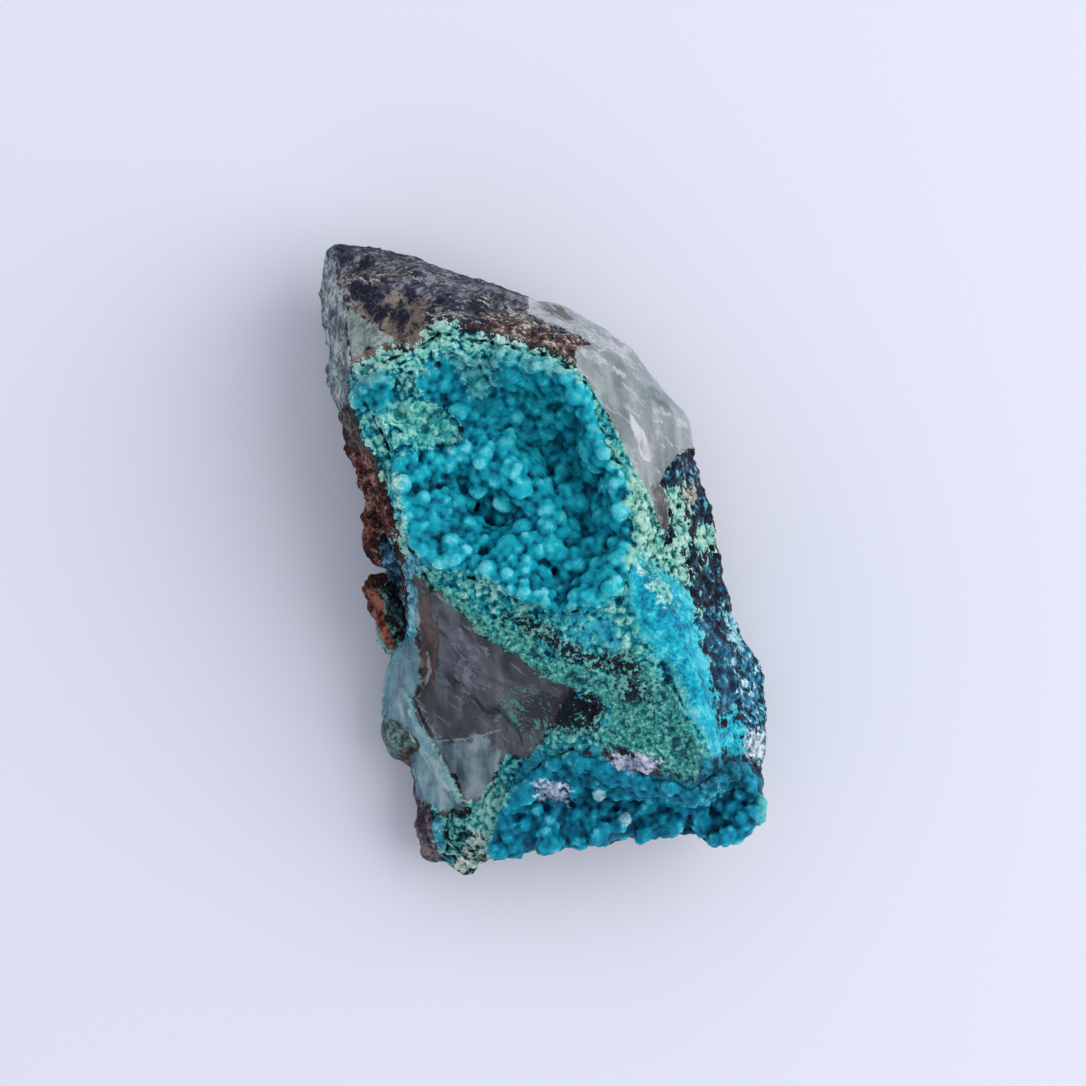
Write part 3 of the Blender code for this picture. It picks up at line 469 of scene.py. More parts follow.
def dropStrays(piece):
    # takes away faces that hang by one edge, then whatever is apart from the piece's highest point
    selectOnly(piece)
    bpy.ops.object.mode_set(mode="EDIT")
    bpy.ops.mesh.select_mode(type="VERT")
    bpy.ops.mesh.select_all(action="DESELECT")
    bpy.ops.mesh.select_non_manifold(use_multi_face=False, use_non_contiguous=False, use_verts=False)
    bpy.ops.mesh.select_mode(type="FACE")
    bpy.ops.mesh.delete(type="FACE")
    bpy.ops.mesh.select_mode(type="VERT")
    bpy.ops.object.mode_set(mode="OBJECT")
    piece.data.vertices[int(np.argmax(pointsOf(piece)[:, 2]))].select = True
    bpy.ops.object.mode_set(mode="EDIT")
    bpy.ops.mesh.select_linked()
    bpy.ops.mesh.select_all(action="INVERT")
    bpy.ops.mesh.delete(type="VERT")
    bpy.ops.object.mode_set(mode="OBJECT")


def thinOut(piece, triangles):
    piece.vertex_groups.clear()
    before = triangleCount(piece)
    applyModifier(piece, "DECIMATE", ratio=min(1, triangles / before))
    applyModifier(piece, "TRIANGULATE")
    dropStrays(piece)
    print(piece.name, "thinned from", before, "to", triangleCount(piece), "triangles")


def storeValues(piece, name, values):
    layer = piece.data.attributes.new(name, "FLOAT", "POINT")
    layer.data.foreach_set("value", values.astype(np.float32))


def reachInto(points, zone, lowest=None):
    # how far inside a zone each point is, in mm; the zone gives out on the flanks at the height "lowest"
    best = np.full(len(points), -farAway, np.float32)
    for outline in zones[zone]:
        inside = np.zeros(len(points), bool)
        nearest = np.full(len(points), farAway ** 2, np.float32)
        for (ax, ay), (bx, by) in zip(outline, outline[1:] + outline[:1]):
            px, py = points[:, 0] - ax, points[:, 1] - ay
            ex, ey = bx - ax, by - ay
            along = np.clip((px * ex + py * ey) / (ex * ex + ey * ey), 0, 1)
            nearest = np.minimum(nearest, (px - along * ex) ** 2 + (py - along * ey) ** 2)
            crosses = (points[:, 1] < ay) != (points[:, 1] < by)
            if ey:
                inside ^= crosses & (px < py * ex / ey)
        reach = np.sqrt(nearest) * np.where(inside, 1, -1)
        best = np.maximum(best, reach)
    if lowest is not None:
        best = np.minimum(best, (points[:, 2] - lowest) * flankSway["giveOut"])
    return best


def reachIntoAny(points, names, lowest):
    return np.max([reachInto(points, name, lowest) for name in names], 0)


def castDown(tree, x, y):
    # the highest place of a piece at x, y
    return tree.ray_cast(Vector((x, y, castFrom)) * mm, Vector((0, 0, -1)))[0]


def carryOverRim(tree, outline):
    # moves the outline's points that stand close to the stone's rim outwards, past it
    carried = []
    for x, y in outline:
        away = Vector((0, 0))
        for step in range(rim["ways"]):
            turn = 2 * math.pi * step / rim["ways"]
            way = Vector((math.cos(turn), math.sin(turn)))
            if not castDown(tree, x + way.x * rim["near"], y + way.y * rim["near"]):
                away += way
        if away.length > rim["least"]:
            away.length = rim["past"]
            x, y = x + away.x, y + away.y
        carried.append((x, y))
    return carried


def noiseAt(points, grain):
    return np.array([noise.noise(Vector(point) / grain) for point in points.tolist()])


def wanderOnFlanks(piece):
    # shifts a zone's edge to and fro on the steep sides, where an outline drawn from above would run straight
    points = pointsOf(piece)
    upward = normalsOf(piece)[:, 2]
    steep = np.clip(0.9 - upward * 2.5, 0, 1)  # from none on gentle slopes to nearly all on upright faces
    low = (flankSway["below"] - points[:, 2]) / flankSway["fade"]
    share = np.clip(np.maximum(low, 1 - upward * 5), flankSway["least"], 1)  # more low down or upright
    broad, small = [noiseAt(points, grain) for grain in flankSway["grains"]]
    return (broad + 0.5 * small) * steep * share * flankSway["reach"]


def hollowness(piece, rounds):
    # positive in pits and negative on bumps, in mm, against a copy of the surface that has been relaxed
    points = pointsOf(piece).astype(np.float64)
    edges = np.zeros(len(piece.data.edges) * 2, np.int32)
    piece.data.edges.foreach_get("vertices", edges)
    a, b = edges.reshape(-1, 2).T
    count = np.maximum(np.bincount(edges, minlength=len(points)), 1)
    relaxed = points.copy()
    for step in range(rounds):
        total = np.stack([
            np.bincount(a, relaxed[b, axis], len(points)) + np.bincount(b, relaxed[a, axis], len(points))
            for axis in range(3)
        ], 1)
        relaxed = total / count[:, None]
    return ((relaxed - points) * normalsOf(piece)).sum(1)


def weighGroup(piece, name, weights):
    # weights go in tenths, so that the points of each tenth are added in one call
    group = piece.vertex_groups.new(name=name)
    steps = np.round(np.clip(weights, 0, 1) * 10).astype(int)
    for step in range(1, 11):
        group.add(np.nonzero(steps == step)[0].tolist(), step / 10, "REPLACE")


def pushOut(piece, name, relief, group=""):
    # raises and sinks the surface by a grainy pattern: kind, grain in mm, height in mm, further settings
    kind, grain, height, settings = relief
    texture = bpy.data.textures.new(name + kind.title(), kind)
    texture.noise_scale = grain * mm
    for key, value in settings.items():
        setattr(texture, key, value)
    applyModifier(piece, "DISPLACE", texture=texture, strength=height * mm, mid_level=0.5,
                  vertex_group=group, texture_coords="LOCAL")


farAway = 1000  # mm, past anything here
castFrom = 60  # mm, above anything here

# How the minerals' edges behave on the flanks, in mm.
flankSway = {
    "reach": 2.4,  # how far an edge sways
    "grains": (3.2, 1.1),
    "below": 14,  # the swaying grows downwards from this height, over the next length
    "fade": 6,
    "least": 0.2,  # the share of it that stays above
    "giveOut": 0.5,  # how soon a zone ends at its lowest height, against its other edges
    "zones": ["brownFace", "leftStrip", "rustFlank", "navySlope", "edgeSpeckle", "quartzShoulder",
              "quartzPale", "paleBlue", "smokyQuartz", "greenCrust", "ledge", "cyanSlope", "lowerBeaded",
              "cornerDark", "cornerGreen", "topEdge", "navyPatch", "mintPatches", "knobGreen"],
}
# Minerals that run on over the rim: a point this near to it, in mm, moves this far past it.
rim = {
    "near": 1.4,
    "past": 3.0,
    "ways": 16,  # the directions in which the rim is felt for
    "least": 0.5,  # how far they must lean to one side for the point to move
    "zones": ["brownFace", "leftStrip", "rustFlank", "navySlope", "edgeSpeckle", "quartzShoulder",
              "quartzPale", "paleBlue", "knobGreen", "cornerDark", "paleFringe", "navyPatch", "whitePatch",
              "topEdge", "cornerBrown", "azurite"],
}
rimTree = BVHTree.FromObject(frame["nodes"]["stone_matrix"], bpy.context.evaluated_depsgraph_get())
for zone in rim["zones"]:
    zones[zone] = [carryOverRim(rimTree, outline) for outline in zones[zone]]

# The stone is one block, so its broken faces, crusts and veins are all reliefs of one skin.
billowy = {"noise_type": "HARD_NOISE", "noise_depth": 2}
bowls = {"distance_metric": "DISTANCE_SQUARED"}
facets = {"distance_metric": "MANHATTAN"}
stoneLook = {
    "voxel": 0.22,
    "smoothing": 3,
    "glassySmoothing": 20,  # rounds that take the voxels' steps out of the quartz
    "blend": 0.5,  # mm over which one relief gives way to the next
    "footFade": 0.8,  # mm above the floor from which the flanks are rough in full
    "triangles": 194000,
    # relief group: the mineral zones in it and the height at which they give out
    "groups": {
        "glassy": (["quartzShoulder", "smokyQuartz", "paleBlue"], 9.0),
        "spongy": (["greenCrust", "mintPatches", "cornerDark", "cornerGreen", "paleFringe"], 10.0),
        "ledge": (["ledge"], 13.0),
        "rind": (["brownFace", "leftStrip"], 12.0),
        "granular": (["navySlope", "edgeSpeckle"], 8.0),
        "lumpy": (["cyanSlope", "palePatch"], 12.0),
        "flaky": (["rustFlank"], 3.0),
    },
    # relief group: pattern, its grain and height in mm, and its further settings
    "reliefs": [
        ("spongy", ("CLOUDS", 1.5, 0.85, billowy)),
        ("spongy", ("VORONOI", 1.0, -0.35, {})),
        ("spongy", ("CLOUDS", 0.5, 0.28, {"noise_depth": 2})),
        ("ledge", ("VORONOI", 1.0, -0.3, {})),
        ("ledge", ("CLOUDS", 0.6, 0.3, {"noise_depth": 2})),
        ("rind", ("CLOUDS", 1.6, 0.5, {"noise_depth": 3})),
        ("rind", ("VORONOI", 2.6, 0.3, facets)),
        ("granular", ("VORONOI", 0.9, -0.4, {})),
        ("granular", ("VORONOI", 2.2, 0.6, facets)),
        ("lumpy", ("VORONOI", 1.3, -0.3, {})),
        ("lumpy", ("CLOUDS", 0.5, 0.2, {"noise_depth": 2})),
        ("glassy", ("VORONOI", 7.0, 0.45, bowls)),
        ("glassy", ("VORONOI", 3.0, 0.14, bowls)),
        ("flaky", ("VORONOI", 2.4, 1.2, facets)),
        ("flaky", ("CLOUDS", 0.8, 0.5, billowy)),
        ("flank", ("VORONOI", 3.4, 0.9, facets)),
        ("flank", ("CLOUDS", 1.2, 0.45, {"noise_depth": 3})),
    ],
    # ridges and cracks drawn on the skin: outline, rise in mm, how far its foot spreads in mm
    "seams": [
        ("knifeRidge", 0.7, 0.5),
        ("crackLine", -0.12, 0.25),
        ("seamBlue", 0.3, 0.4),
        ("smokyBrown", -0.35, 0.5),
        ("cyanLine", 0.25, 0.3),
    ],
    "seamsLowest": 4,
}


def moveTo(piece, points):
    piece.data.vertices.foreach_set("co", (points * mm).ravel())
    piece.data.update()


def drawSeams(piece, seams, lowest):
    points, normals = pointsOf(piece), normalsOf(piece)
    moved = points.copy()
    for zone, rise, foot in seams:
        share = np.clip(reachInto(points, zone, lowest) / foot + 1, 0, 1)
        moved += normals * (rise * share * share * (3 - 2 * share))[:, None]  # an S-shaped foot
    moveTo(piece, moved)


def makeStone():
    stone = copyOfNode("stone_matrix", "stone")
    remesh(stone, stoneLook["voxel"])
    smooth(stone, stoneLook["smoothing"])
    points = pointsOf(stone)
    wander = wanderOnFlanks(stone)
    weights = {}
    for group, (names, lowest) in stoneLook["groups"].items():
        reach = reachIntoAny(points, names, lowest) + wander
        weights[group] = np.clip(reach / stoneLook["blend"] + 0.5, 0, 1)
    for group in ("spongy", "ledge", "rind", "granular"):
        weights[group] *= 1 - weights["glassy"]
    weights["ledge"] *= 1 - weights["lumpy"]
    weights["spongy"] *= (1 - weights["lumpy"]) * (1 - weights["ledge"])
    taken = np.max(list(weights.values()), 0)
    weights["flank"] = (1 - taken) * np.clip(points[:, 2] / stoneLook["footFade"], 0, 1)
    for group in weights:
        weighGroup(stone, group, weights[group])
    smooth(stone, stoneLook["glassySmoothing"], "glassy")
    for group, relief in stoneLook["reliefs"]:
        pushOut(stone, group, relief, group)
    drawSeams(stone, stoneLook["seams"], stoneLook["seamsLowest"])
    thinOut(stone, stoneLook["triangles"])
    return stone


stone = makeStone()

# The two bead crusts grow on the hollows' floors: a lumpy sheet with beads half sunk in it.
crustLook = {
    "sheetVoxel": 0.4,
    "sheetRounds": 14,  # of smoothing, which takes the flat facets out of the sheet
    "sheetLift": 0.42,
    "voxel": 0.2,
    "smoothing": 3,
    "triangles": 190000,
    "steepest": -0.1,  # beads grow where the floor's normal rises at least this much
    "crowding": 0.62,  # how close two beads stand, as a share of their radii together
    "tries": 14,  # places tried for each small bead
    "smallMore": 1.4,  # over 1, the small beads of a size range are the more common ones
    "rimRadius": 0.5,  # the largest bead at the crust's edge, in mm, and how soon they grow inwards
    "rimGrowth": 0.4,
    "rimStray": (-0.5, 0.3),  # how far in from the edge the outermost beads stand, in mm
    "beadLift": 0.1,  # how far the large beads' middles stand off the floor, as a share of their radius
    "sunk": (-0.45, 0.2),  # the same for the small beads, from least to most
    "budded": 0.55,  # the share of the beads that carry buds
    "buddedFrom": 0.6,  # the smallest of them, as a radius in mm
    "buds": (2, 5),
    "budSize": (0.36, 0.62),  # as a share of the bead's radius
    "edgeFrom": 0.4,  # the crusty edge starts this far inside the beaded area, in mm
    # pattern, its grain and height in mm, and its further settings
    "floor": ("CLOUDS", 3.2, 1.1, {"noise_depth": 1}),
    "beadSkin": [
        ("CLOUDS", 0.9, 0.12, {"noise_depth": 2}),
        ("CLOUDS", 0.45, 0.08, {"noise_depth": 1}),
    ],
    "crustyEdge": [
        ("CLOUDS", 1.5, 0.9, billowy),
        ("VORONOI", 1.0, -0.4, {}),
        ("CLOUDS", 0.5, 0.3, {"noise_depth": 2}),
    ],
}
# For each crust: the zone it is beaded in, the floor's soft swells and dips (x, y, half width, height), the
# beads that stand out and the holes kept clear of beads (x, y, radius), then how many beads of which radii
# fill the rest. All in mm, seen from above.
upperLook = {
    "zone": "beadedArea",
    "swells": [
        (-10.5, 12.6, 2.6, 0.9), (-4.6, 10.6, 3.0, 1.3), (-0.4, 8.6, 2.2, 0.8), (0.8, 1.6, 2.4, 1.3),
        (-7.8, 6.6, 1.3, -2.2), (-6.4, 4.2, 0.9, -1.4), (8.4, 8.2, 1.8, -1.4), (1.6, -5, 1.0, -1.6),
        (2.6, 13.6, 2.6, -0.8), (-4.6, 21, 2.6, 0.6), (8.2, 2.8, 1.6, -0.8), (-14.6, 5.2, 2.4, 0.7),
        (4.2, 4.6, 1.2, -1.2), (-16.2, 8.6, 2.0, 0.6), (-2.2, 6.2, 1.2, -0.8),
    ],
    "beads": [
        (-14, 23.1, 1.12), (-11.9, 22.8, 0.94), (-4, 23.1, 1.56), (-3.9, 21.6, 1), (0.6, 21.2, 0.94),
        (-0.8, 19.2, 1.62), (-1, 17.5, 0.88), (-2.8, 19.9, 0.88), (2.4, 18, 0.81), (5.2, 19.6, 0.75),
        (-5.6, 19, 0.88), (-6.4, 16.8, 0.81), (-10.8, 20.2, 1), (-10.5, 18.2, 1.25), (-6.8, 17, 0.88),
        (-20, 20.2, 1.12), (-0.2, 15.6, 0.75), (4.1, 13.1, 1.12), (7.5, 13, 0.94), (5.9, 10.5, 1.25),
        (7.5, 11.2, 0.81), (2.2, 9.4, 1.25), (8.1, 9.1, 0.88), (4.5, 6.9, 1.38), (1.6, 6.8, 0.94),
        (-2.9, 9, 1.62), (-5.8, 9.8, 1.25), (-7.8, 8.8, 1.25), (-7.2, 13, 1), (-9.5, 13.6, 1),
        (-11.5, 12, 1.25), (-7.8, 11.9, 1), (-17.5, 9.1, 1.25), (-14.9, 7.5, 1), (-9.2, 4.4, 1),
        (-11.2, 4.4, 0.88), (-16.8, 5.4, 0.81), (-14.9, 4.1, 0.88), (-13.6, 3.5, 1), (-15, 1, 0.94),
        (-5.2, 4.8, 1), (-3.4, 6.2, 0.88), (-2.6, 5, 0.88), (1.8, 5, 1.25), (0.5, 3.8, 1.25),
        (0.8, 1.5, 1.5), (2.1, 0.6, 1.1), (-0.7, 0.8, 1.1), (1.7, 2.7, 1.1), (0.1, 2.9, 1.0),
        (-2.4, -1.4, 1.12), (-4.5, -2, 0.94), (-5.8, 0.5, 0.88), (-7.4, -0.1, 0.88), (6.8, 1, 0.94),
        (7.5, 2.5, 1), (8, -1.4, 0.88), (9, 4.2, 0.88), (9.6, 5.9, 1.25), (10.5, -0.1, 0.75),
        (5.4, -6.9, 1), (3.6, -6, 0.75), (2.1, -5.8, 0.62),
    ],
    "holes": [(-8.6, 6.9, 1.2), (-7.6, 6.4, 1.0), (-6.9, 4.2, 1.1), (1.6, -5, 0.9), (7.8, 6.2, 0.8)],
    "fills": [(170, (1.0, 1.45)), (420, (0.7, 1.05)), (420, (0.45, 0.7)), (200, (0.3, 0.45))],
    "seed": 3,
}
lowerLook = {
    "zone": "lowerBeaded",
    "swells": [],
    "beads": [
        (6.9, -29.6, 0.85), (10.4, -32.6, 0.75), (3.3, -23.8, 1.1), (19.4, -29.4, 0.8), (20.9, -28.9, 0.7),
        (20.2, -30.2, 0.8), (22.2, -28.7, 0.7), (18.9, -30.6, 0.7), (-2.2, -33.4, 0.9), (0.4, -34.2, 0.8),
        (2.8, -34.2, 0.9), (5.2, -33.8, 0.85), (7.8, -33.8, 0.9), (1.6, -31.4, 0.9), (4.4, -31.9, 0.85),
        (12.6, -31.4, 0.9), (14.9, -32.4, 0.85), (17.4, -32.2, 0.8), (12.2, -29, 0.8), (15.4, -29.8, 0.85),
        (23.6, -31.2, 1.0), (24.6, -29.6, 0.9), (22.4, -33, 1.0), (24.8, -32.4, 0.85), (-4.4, -35, 0.8),
    ],
    "holes": [(20.5, -26.6, 1.6), (21.8, -27, 1.2), (11, -30.4, 0.8)],
    "fills": [(120, (0.6, 0.9)), (420, (0.4, 0.62)), (420, (0.28, 0.42))],
    "seed": 8,
}


def addBeads(piece, beads):
    # one ball is modelled and copied to every place, then joined with the crust's sheet
    bpy.ops.object.select_all(action="DESELECT")
    bpy.ops.mesh.primitive_ico_sphere_add(subdivisions=3, radius=mm, location=(0, 0, 0))
    ball = bpy.context.object
    shape = pointsOf(ball)  # one unit in radius
    faces = np.array([list(face.vertices) for face in ball.data.polygons])
    bpy.data.objects.remove(ball)
    corners = np.concatenate([shape * radius + np.array(middle) for middle, radius in beads])
    rings = np.concatenate([faces + i * len(shape) for i in range(len(beads))])
    mesh = bpy.data.meshes.new("beads")
    mesh.from_pydata(corners.tolist(), [], rings.tolist())
    beadPiece = bpy.data.objects.new("beads", mesh)
    bpy.context.scene.collection.objects.link(beadPiece)
    selectOnly(piece)
    beadPiece.select_set(True)
    bpy.ops.object.join()


def fillBeads(sheet, placed, count, radii, look):
    # smaller beads between the large ones, wherever the crust is beaded and faces up or to the open side
    draw = random.Random(look["seed"])
    low, high = radii
    mesh = sheet.data
    mesh.calc_loop_triangles()
    corners = [vertex.co for vertex in mesh.vertices]
    usable = [t for t in mesh.loop_triangles if t.normal.z > crustLook["steepest"]]
    areas = np.cumsum([t.area for t in usable])
    middles = np.array([middle for middle, radius in placed])
    sizes = np.array([radius for middle, radius in placed])
    made = []
    reach = reachInto(pointsOf(sheet), look["zone"])
    for attempt in range(count * crustLook["tries"]):
        t = usable[int(np.searchsorted(areas, draw.random() * areas[-1]))]
        u, v = draw.random(), draw.random()
        if u + v > 1:
            u, v = 1 - u, 1 - v
        a, b, c = [corners[i] for i in t.vertices]
        spot = a + (b - a) * u + (c - a) * v
        inwards = reach[t.vertices[0]]
        largest = crustLook["rimRadius"] + max(inwards, 0) * crustLook["rimGrowth"]
        radius = min(low + (high - low) * draw.random() ** crustLook["smallMore"], largest) * mm
        middle = spot + t.normal * radius * draw.uniform(*crustLook["sunk"])
        if inwards < draw.uniform(*crustLook["rimStray"]):
            continue
        gaps = np.linalg.norm(middles - np.array(middle), axis=1)
        if (gaps < crustLook["crowding"] * (sizes + radius)).any():
            continue
        middles = np.vstack([middles, np.array(middle)])
        sizes = np.append(sizes, radius)
        made.append((middle, radius))
        if len(made) == count:
            break
    return made


def budBeads(beads, seed):
    # small buds on the upper sides of the larger beads, as one generation grew over the last
    draw = random.Random(seed)
    buds = []
    for middle, radius in beads:
        if radius < crustLook["buddedFrom"] * mm or draw.random() > crustLook["budded"]:
            continue
        for bud in range(draw.randint(*crustLook["buds"])):
            way = Vector((draw.gauss(0, 1), draw.gauss(0, 1), abs(draw.gauss(0, 1)))).normalized()
            size = radius * draw.uniform(*crustLook["budSize"])
            buds.append((middle + way * (radius - size * 0.5), size))
    return buds


def swell(piece, swells):
    # lifts or sinks the floor round each place, and leaves the underside where it is
    points = pointsOf(piece)
    upwards = np.clip(normalsOf(piece)[:, 2] * 2, 0, 1)
    for x, y, width, height in swells:
        away = (points[:, 0] - x) ** 2 + (points[:, 1] - y) ** 2
        points[:, 2] += height * np.exp(-away / (2 * width ** 2)) * upwards
    moveTo(piece, points)


def landOn(tree, places, lift=0.0):
    # the places' middles on the floor, raised by a share of their radius; those that miss it are left out
    landed = []
    for x, y, radius in places:
        spot = castDown(tree, x, y)
        if spot:
            landed.append((spot + Vector((0, 0, radius * lift * mm)), radius * mm))
    return landed


def makeCrust(nodeName, pieceName, look):
    crust = copyOfNode(nodeName, pieceName)
    remesh(crust, crustLook["sheetVoxel"])
    smooth(crust, crustLook["sheetRounds"])
    applyModifier(crust, "DISPLACE", strength=crustLook["sheetLift"] * mm, mid_level=0.0)
    swell(crust, look["swells"])
    weighGroup(crust, "floor", reachInto(pointsOf(crust), look["zone"]))
    pushOut(crust, pieceName + "Floor", crustLook["floor"], "floor")
    crust.vertex_groups.clear()
    tree = BVHTree.FromObject(crust, bpy.context.evaluated_depsgraph_get())
    placed = landOn(tree, look["beads"], crustLook["beadLift"])
    kept = placed + landOn(tree, look["holes"])
    for count, radii in look["fills"]:
        added = fillBeads(crust, kept, count, radii, look)
        placed += added
        kept += added
    placed += budBeads(placed, look["seed"])
    print(pieceName, len(placed), "beads")
    addBeads(crust, placed)
    remesh(crust, crustLook["voxel"])
    smooth(crust, crustLook["smoothing"])
    weighGroup(crust, "edge", crustLook["edgeFrom"] - reachInto(pointsOf(crust), look["zone"]))
    for relief in crustLook["beadSkin"]:
        pushOut(crust, pieceName, relief)
    for relief in crustLook["crustyEdge"]:
        pushOut(crust, pieceName + "Edge", relief, "edge")
    thinOut(crust, crustLook["triangles"])
    return crust


upperCrust = makeCrust("upper_hollow_crust", "upper_beads", upperLook)
lowerCrust = makeCrust("lower_hollow_crust", "lower_beads", lowerLook)

# What is where on the stone, for its materials: a zone and the height in mm at which it gives out.
stoneZones = {
    "lowerBeaded": 13, "brownFace": 6, "tanPatch": 12, "navyPatch": 12, "tipDark": 10, "greyTriangle": 12,
    "rustBand": 14, "leftStrip": 5, "rustFlank": 3, "flakeGreen": 3, "flakeBlue": 3, "greenCrust": 12,
    "ledge": 13, "rimShade": 12, "blackBands": 15, "bluePocket": 12, "navySlope": 5, "slateSheen": 9,
    "mintPatches": 9, "edgeSpeckle": 6, "edgeLine": 6, "azurite": 6, "whitePatch": 9, "cyanSlope": 9,
    "frost": 12, "paleBlue": 7, "seamBlue": 5, "knobGreen": 4, "knifeRidge": 5, "cornerDark": 5,
    "cornerGreen": 9, "cornerBrown": 2, "cornerBlue": 3, "cyanLine": 4, "rustRim": 3, "blackSpots": 12,
    "paleRind": 12, "tanSpot": 6, "flakeDark": 3, "paleFringe": 5, "palePatch": 12, "quartzGreen": 9,
    "quartzFlash": 9, "quartzPale": 9, "clearStreaks": 9, "quartzBrown": 9, "smokyQuartz": 9,
    "smokyBrown": 9, "lilacClouds": 9, "greyTeal": 7, "crackLine": 6, "flecksWhite": 9, "lilacBare": 9,
    "quartzShoulder": 9, "deepCavity": 9, "topEdge": 12,
}
# the crusts are seen from above alone, so nothing gives out on them
crustZones = dict.fromkeys([
    "beadedArea", "lowerBeaded", "palePatch", "bluePocket", "mintPatches", "lilacBare", "paleCluster",
    "paleEdge", "deepCavity", "paleBalls", "tealDeep", "paleRind",
])
for piece, shown in ((stone, stoneZones), (upperCrust, crustZones), (lowerCrust, crustZones)):
    points = pointsOf(piece)
    wander = wanderOnFlanks(piece) if piece == stone else 0
    for zone, lowest in shown.items():
        storeValues(piece, zone, reachInto(points, zone, lowest) + wander * (zone in flankSway["zones"]))
    storeValues(piece, "pits", hollowness(piece, 6))  # between grains
    storeValues(piece, "hollows", hollowness(piece, 60))  # between beads
    selectOnly(piece)
    bpy.ops.object.shade_smooth()
    print(piece.name, "marked with", len(shown), "zones")


def mineralFields(tree):
    # the patterns that the minerals share, each from 0 to 1; the sizes are grains in mm
    place = addNode(tree, "TexCoord").outputs["Object"]
    turned = addNode(tree, "Mapping", {"Rotation": (0, 0, math.radians(20))}, {"Vector": place}).outputs[0]
    drawn = addNode(tree, "Mapping", {"Scale": (0.42, 1, 1)}, {"Vector": turned}).outputs[0]
    across = addNode(tree, "Mapping", {"Rotation": (0, 0, math.radians(38))}, {"Vector": place}).outputs[0]
    # stretched noise for the painted glint lines on the quartzes
    glintStretched = addNode(tree, "Mapping", {"Scale": (0.09, 1, 0.3)}, {"Vector": across}).outputs[0]
    poured = addNode(tree, "Mapping", {"Scale": (1, 0.22, 0.6)}, {"Vector": place}).outputs[0]
    fields = {}
    for name, size, detail, roughness, vector in (
        ("fine", 0.2, 2, 0.5, place),
        ("grain", 0.5, 3, 0.6, place),
        ("patch", 1.5, 4, 0.65, place),
        ("broad", 5.0, 4, 0.6, place),
        ("streak", 0.9, 4, 0.6, drawn),
        ("line", 1.3, 2, 0.55, place),
        ("glintLines", 0.55, 3, 0.6, glintStretched),
        ("flow", 1.5, 3, 0.5, poured),
    ):
        pattern = addNode(tree, "TexNoise", {
            "Scale": 1 / (size * mm), "Detail": detail, "Roughness": roughness
        }, {"Vector": vector}).outputs[0]
        fields[name] = addNode(tree, "MapRange", {1: 0.34, 2: 0.66}, {0: pattern}).outputs[0]
    # winding lines, where a pattern passes its middle value
    centred = addNode(tree, "Math", {"operation": "SUBTRACT", 1: 0.5}, {0: fields["line"]}).outputs[0]
    away = addNode(tree, "Math", {"operation": "ABSOLUTE"}, {0: centred}).outputs[0]
    fields["lace"] = addNode(tree, "MapRange", {1: 0.32, 2: 0.0}, {0: away}).outputs[0]
    cells = addNode(tree, "TexVoronoi", {"Scale": 1 / (0.6 * mm)}, {"Vector": place})
    fields["cells"] = addNode(tree, "SeparateColor", {}, {0: cells.outputs["Color"]}).outputs[0]
    pits = addNode(tree, "Attribute", {"attribute_name": "pits"}).outputs["Fac"]
    fields["raised"] = addNode(tree, "MapRange", {1: 0.1, 2: -0.1}, {0: pits}).outputs[0]
    for name, first, second, share, low, high in (
        ("blotch", "patch", "broad", 0.4, 0.2, 0.8),
        ("edge", "blotch", "grain", 0.3, 0.15, 0.85),
        ("sponge", "raised", "lace", 0.4, 0.1, 0.9),
        ("flecks", "cells", "patch", 0.55, 0.15, 0.85),
        ("blotchGrain", "blotch", "grain", 0.4, 0.2, 0.8),
        ("streakGrain", "streak", "grain", 0.35, 0.2, 0.8),
        ("cloud", "flow", "broad", 0.45, 0.15, 0.85),
        ("frostHighlight", "raised", "blotch", 0.5, 0.55, 0.9),
    ):
        both = addNode(tree, "Mix", {0: share}, {2: fields[first], 3: fields[second]}).outputs[0]
        fields[name] = addNode(tree, "MapRange", {1: low, 2: high}, {0: both}).outputs[0]
    # the sponge pattern partly follows how raised the surface is, so the crusts painted with it are darker in
    # their pits: painted shade over their own mottle
    fields["sponge"] = addNode(tree, "Mix", {0: 0.3}, {2: fields["sponge"], 3: fields["edge"]}).outputs[0]
    return fields


def paintZones(tree, fields, coats, colour, roughness, relief):
    # each coat covers the last ones inside its zone
    centred = addNode(tree, "Math", {"operation": "SUBTRACT", 1: 0.5}, {0: fields["edge"]}).outputs[0]
    for layer in coats:
        reach = addNode(tree, "Attribute", {"attribute_name": layer["zone"]}).outputs["Fac"]
        if "outside" in layer:
            reach = addNode(tree, "Math", {"operation": "MULTIPLY", 1: -1.0}, {0: reach}).outputs[0]
        broken = addNode(tree, "Math", {"operation": "MULTIPLY_ADD", 1: layer["ragged"]},
                         {0: centred, 2: reach}).outputs[0]
        mask = addNode(tree, "MapRange", {
            "interpolation_type": "SMOOTHSTEP", 1: layer["start"] - layer["soft"],
            2: layer["start"] + layer["soft"], 4: layer["cover"]
        }, {0: broken}).outputs[0]
        if "where" in layer:
            name, low, high = layer["where"]
            share = addNode(tree, "MapRange", {1: low, 2: high}, {0: fields[name]}).outputs[0]
            mask = addNode(tree, "Math", {"operation": "MULTIPLY"}, {0: mask, 1: share}).outputs[0]
        tint = addNode(tree, "ValToRGB", {"stops": layer["stops"]}, {0: fields[layer["pattern"]]}).outputs[0]
        colour = addNode(tree, "Mix", {"data_type": "RGBA"}, {0: mask, 6: colour, 7: tint}).outputs[2]
        roughness = addNode(tree, "Mix", {3: layer["rough"]}, {0: mask, 2: roughness}).outputs[0]
        relief = addNode(tree, "Mix", {3: layer["relief"]}, {0: mask, 2: relief}).outputs[0]
    return colour, roughness, relief


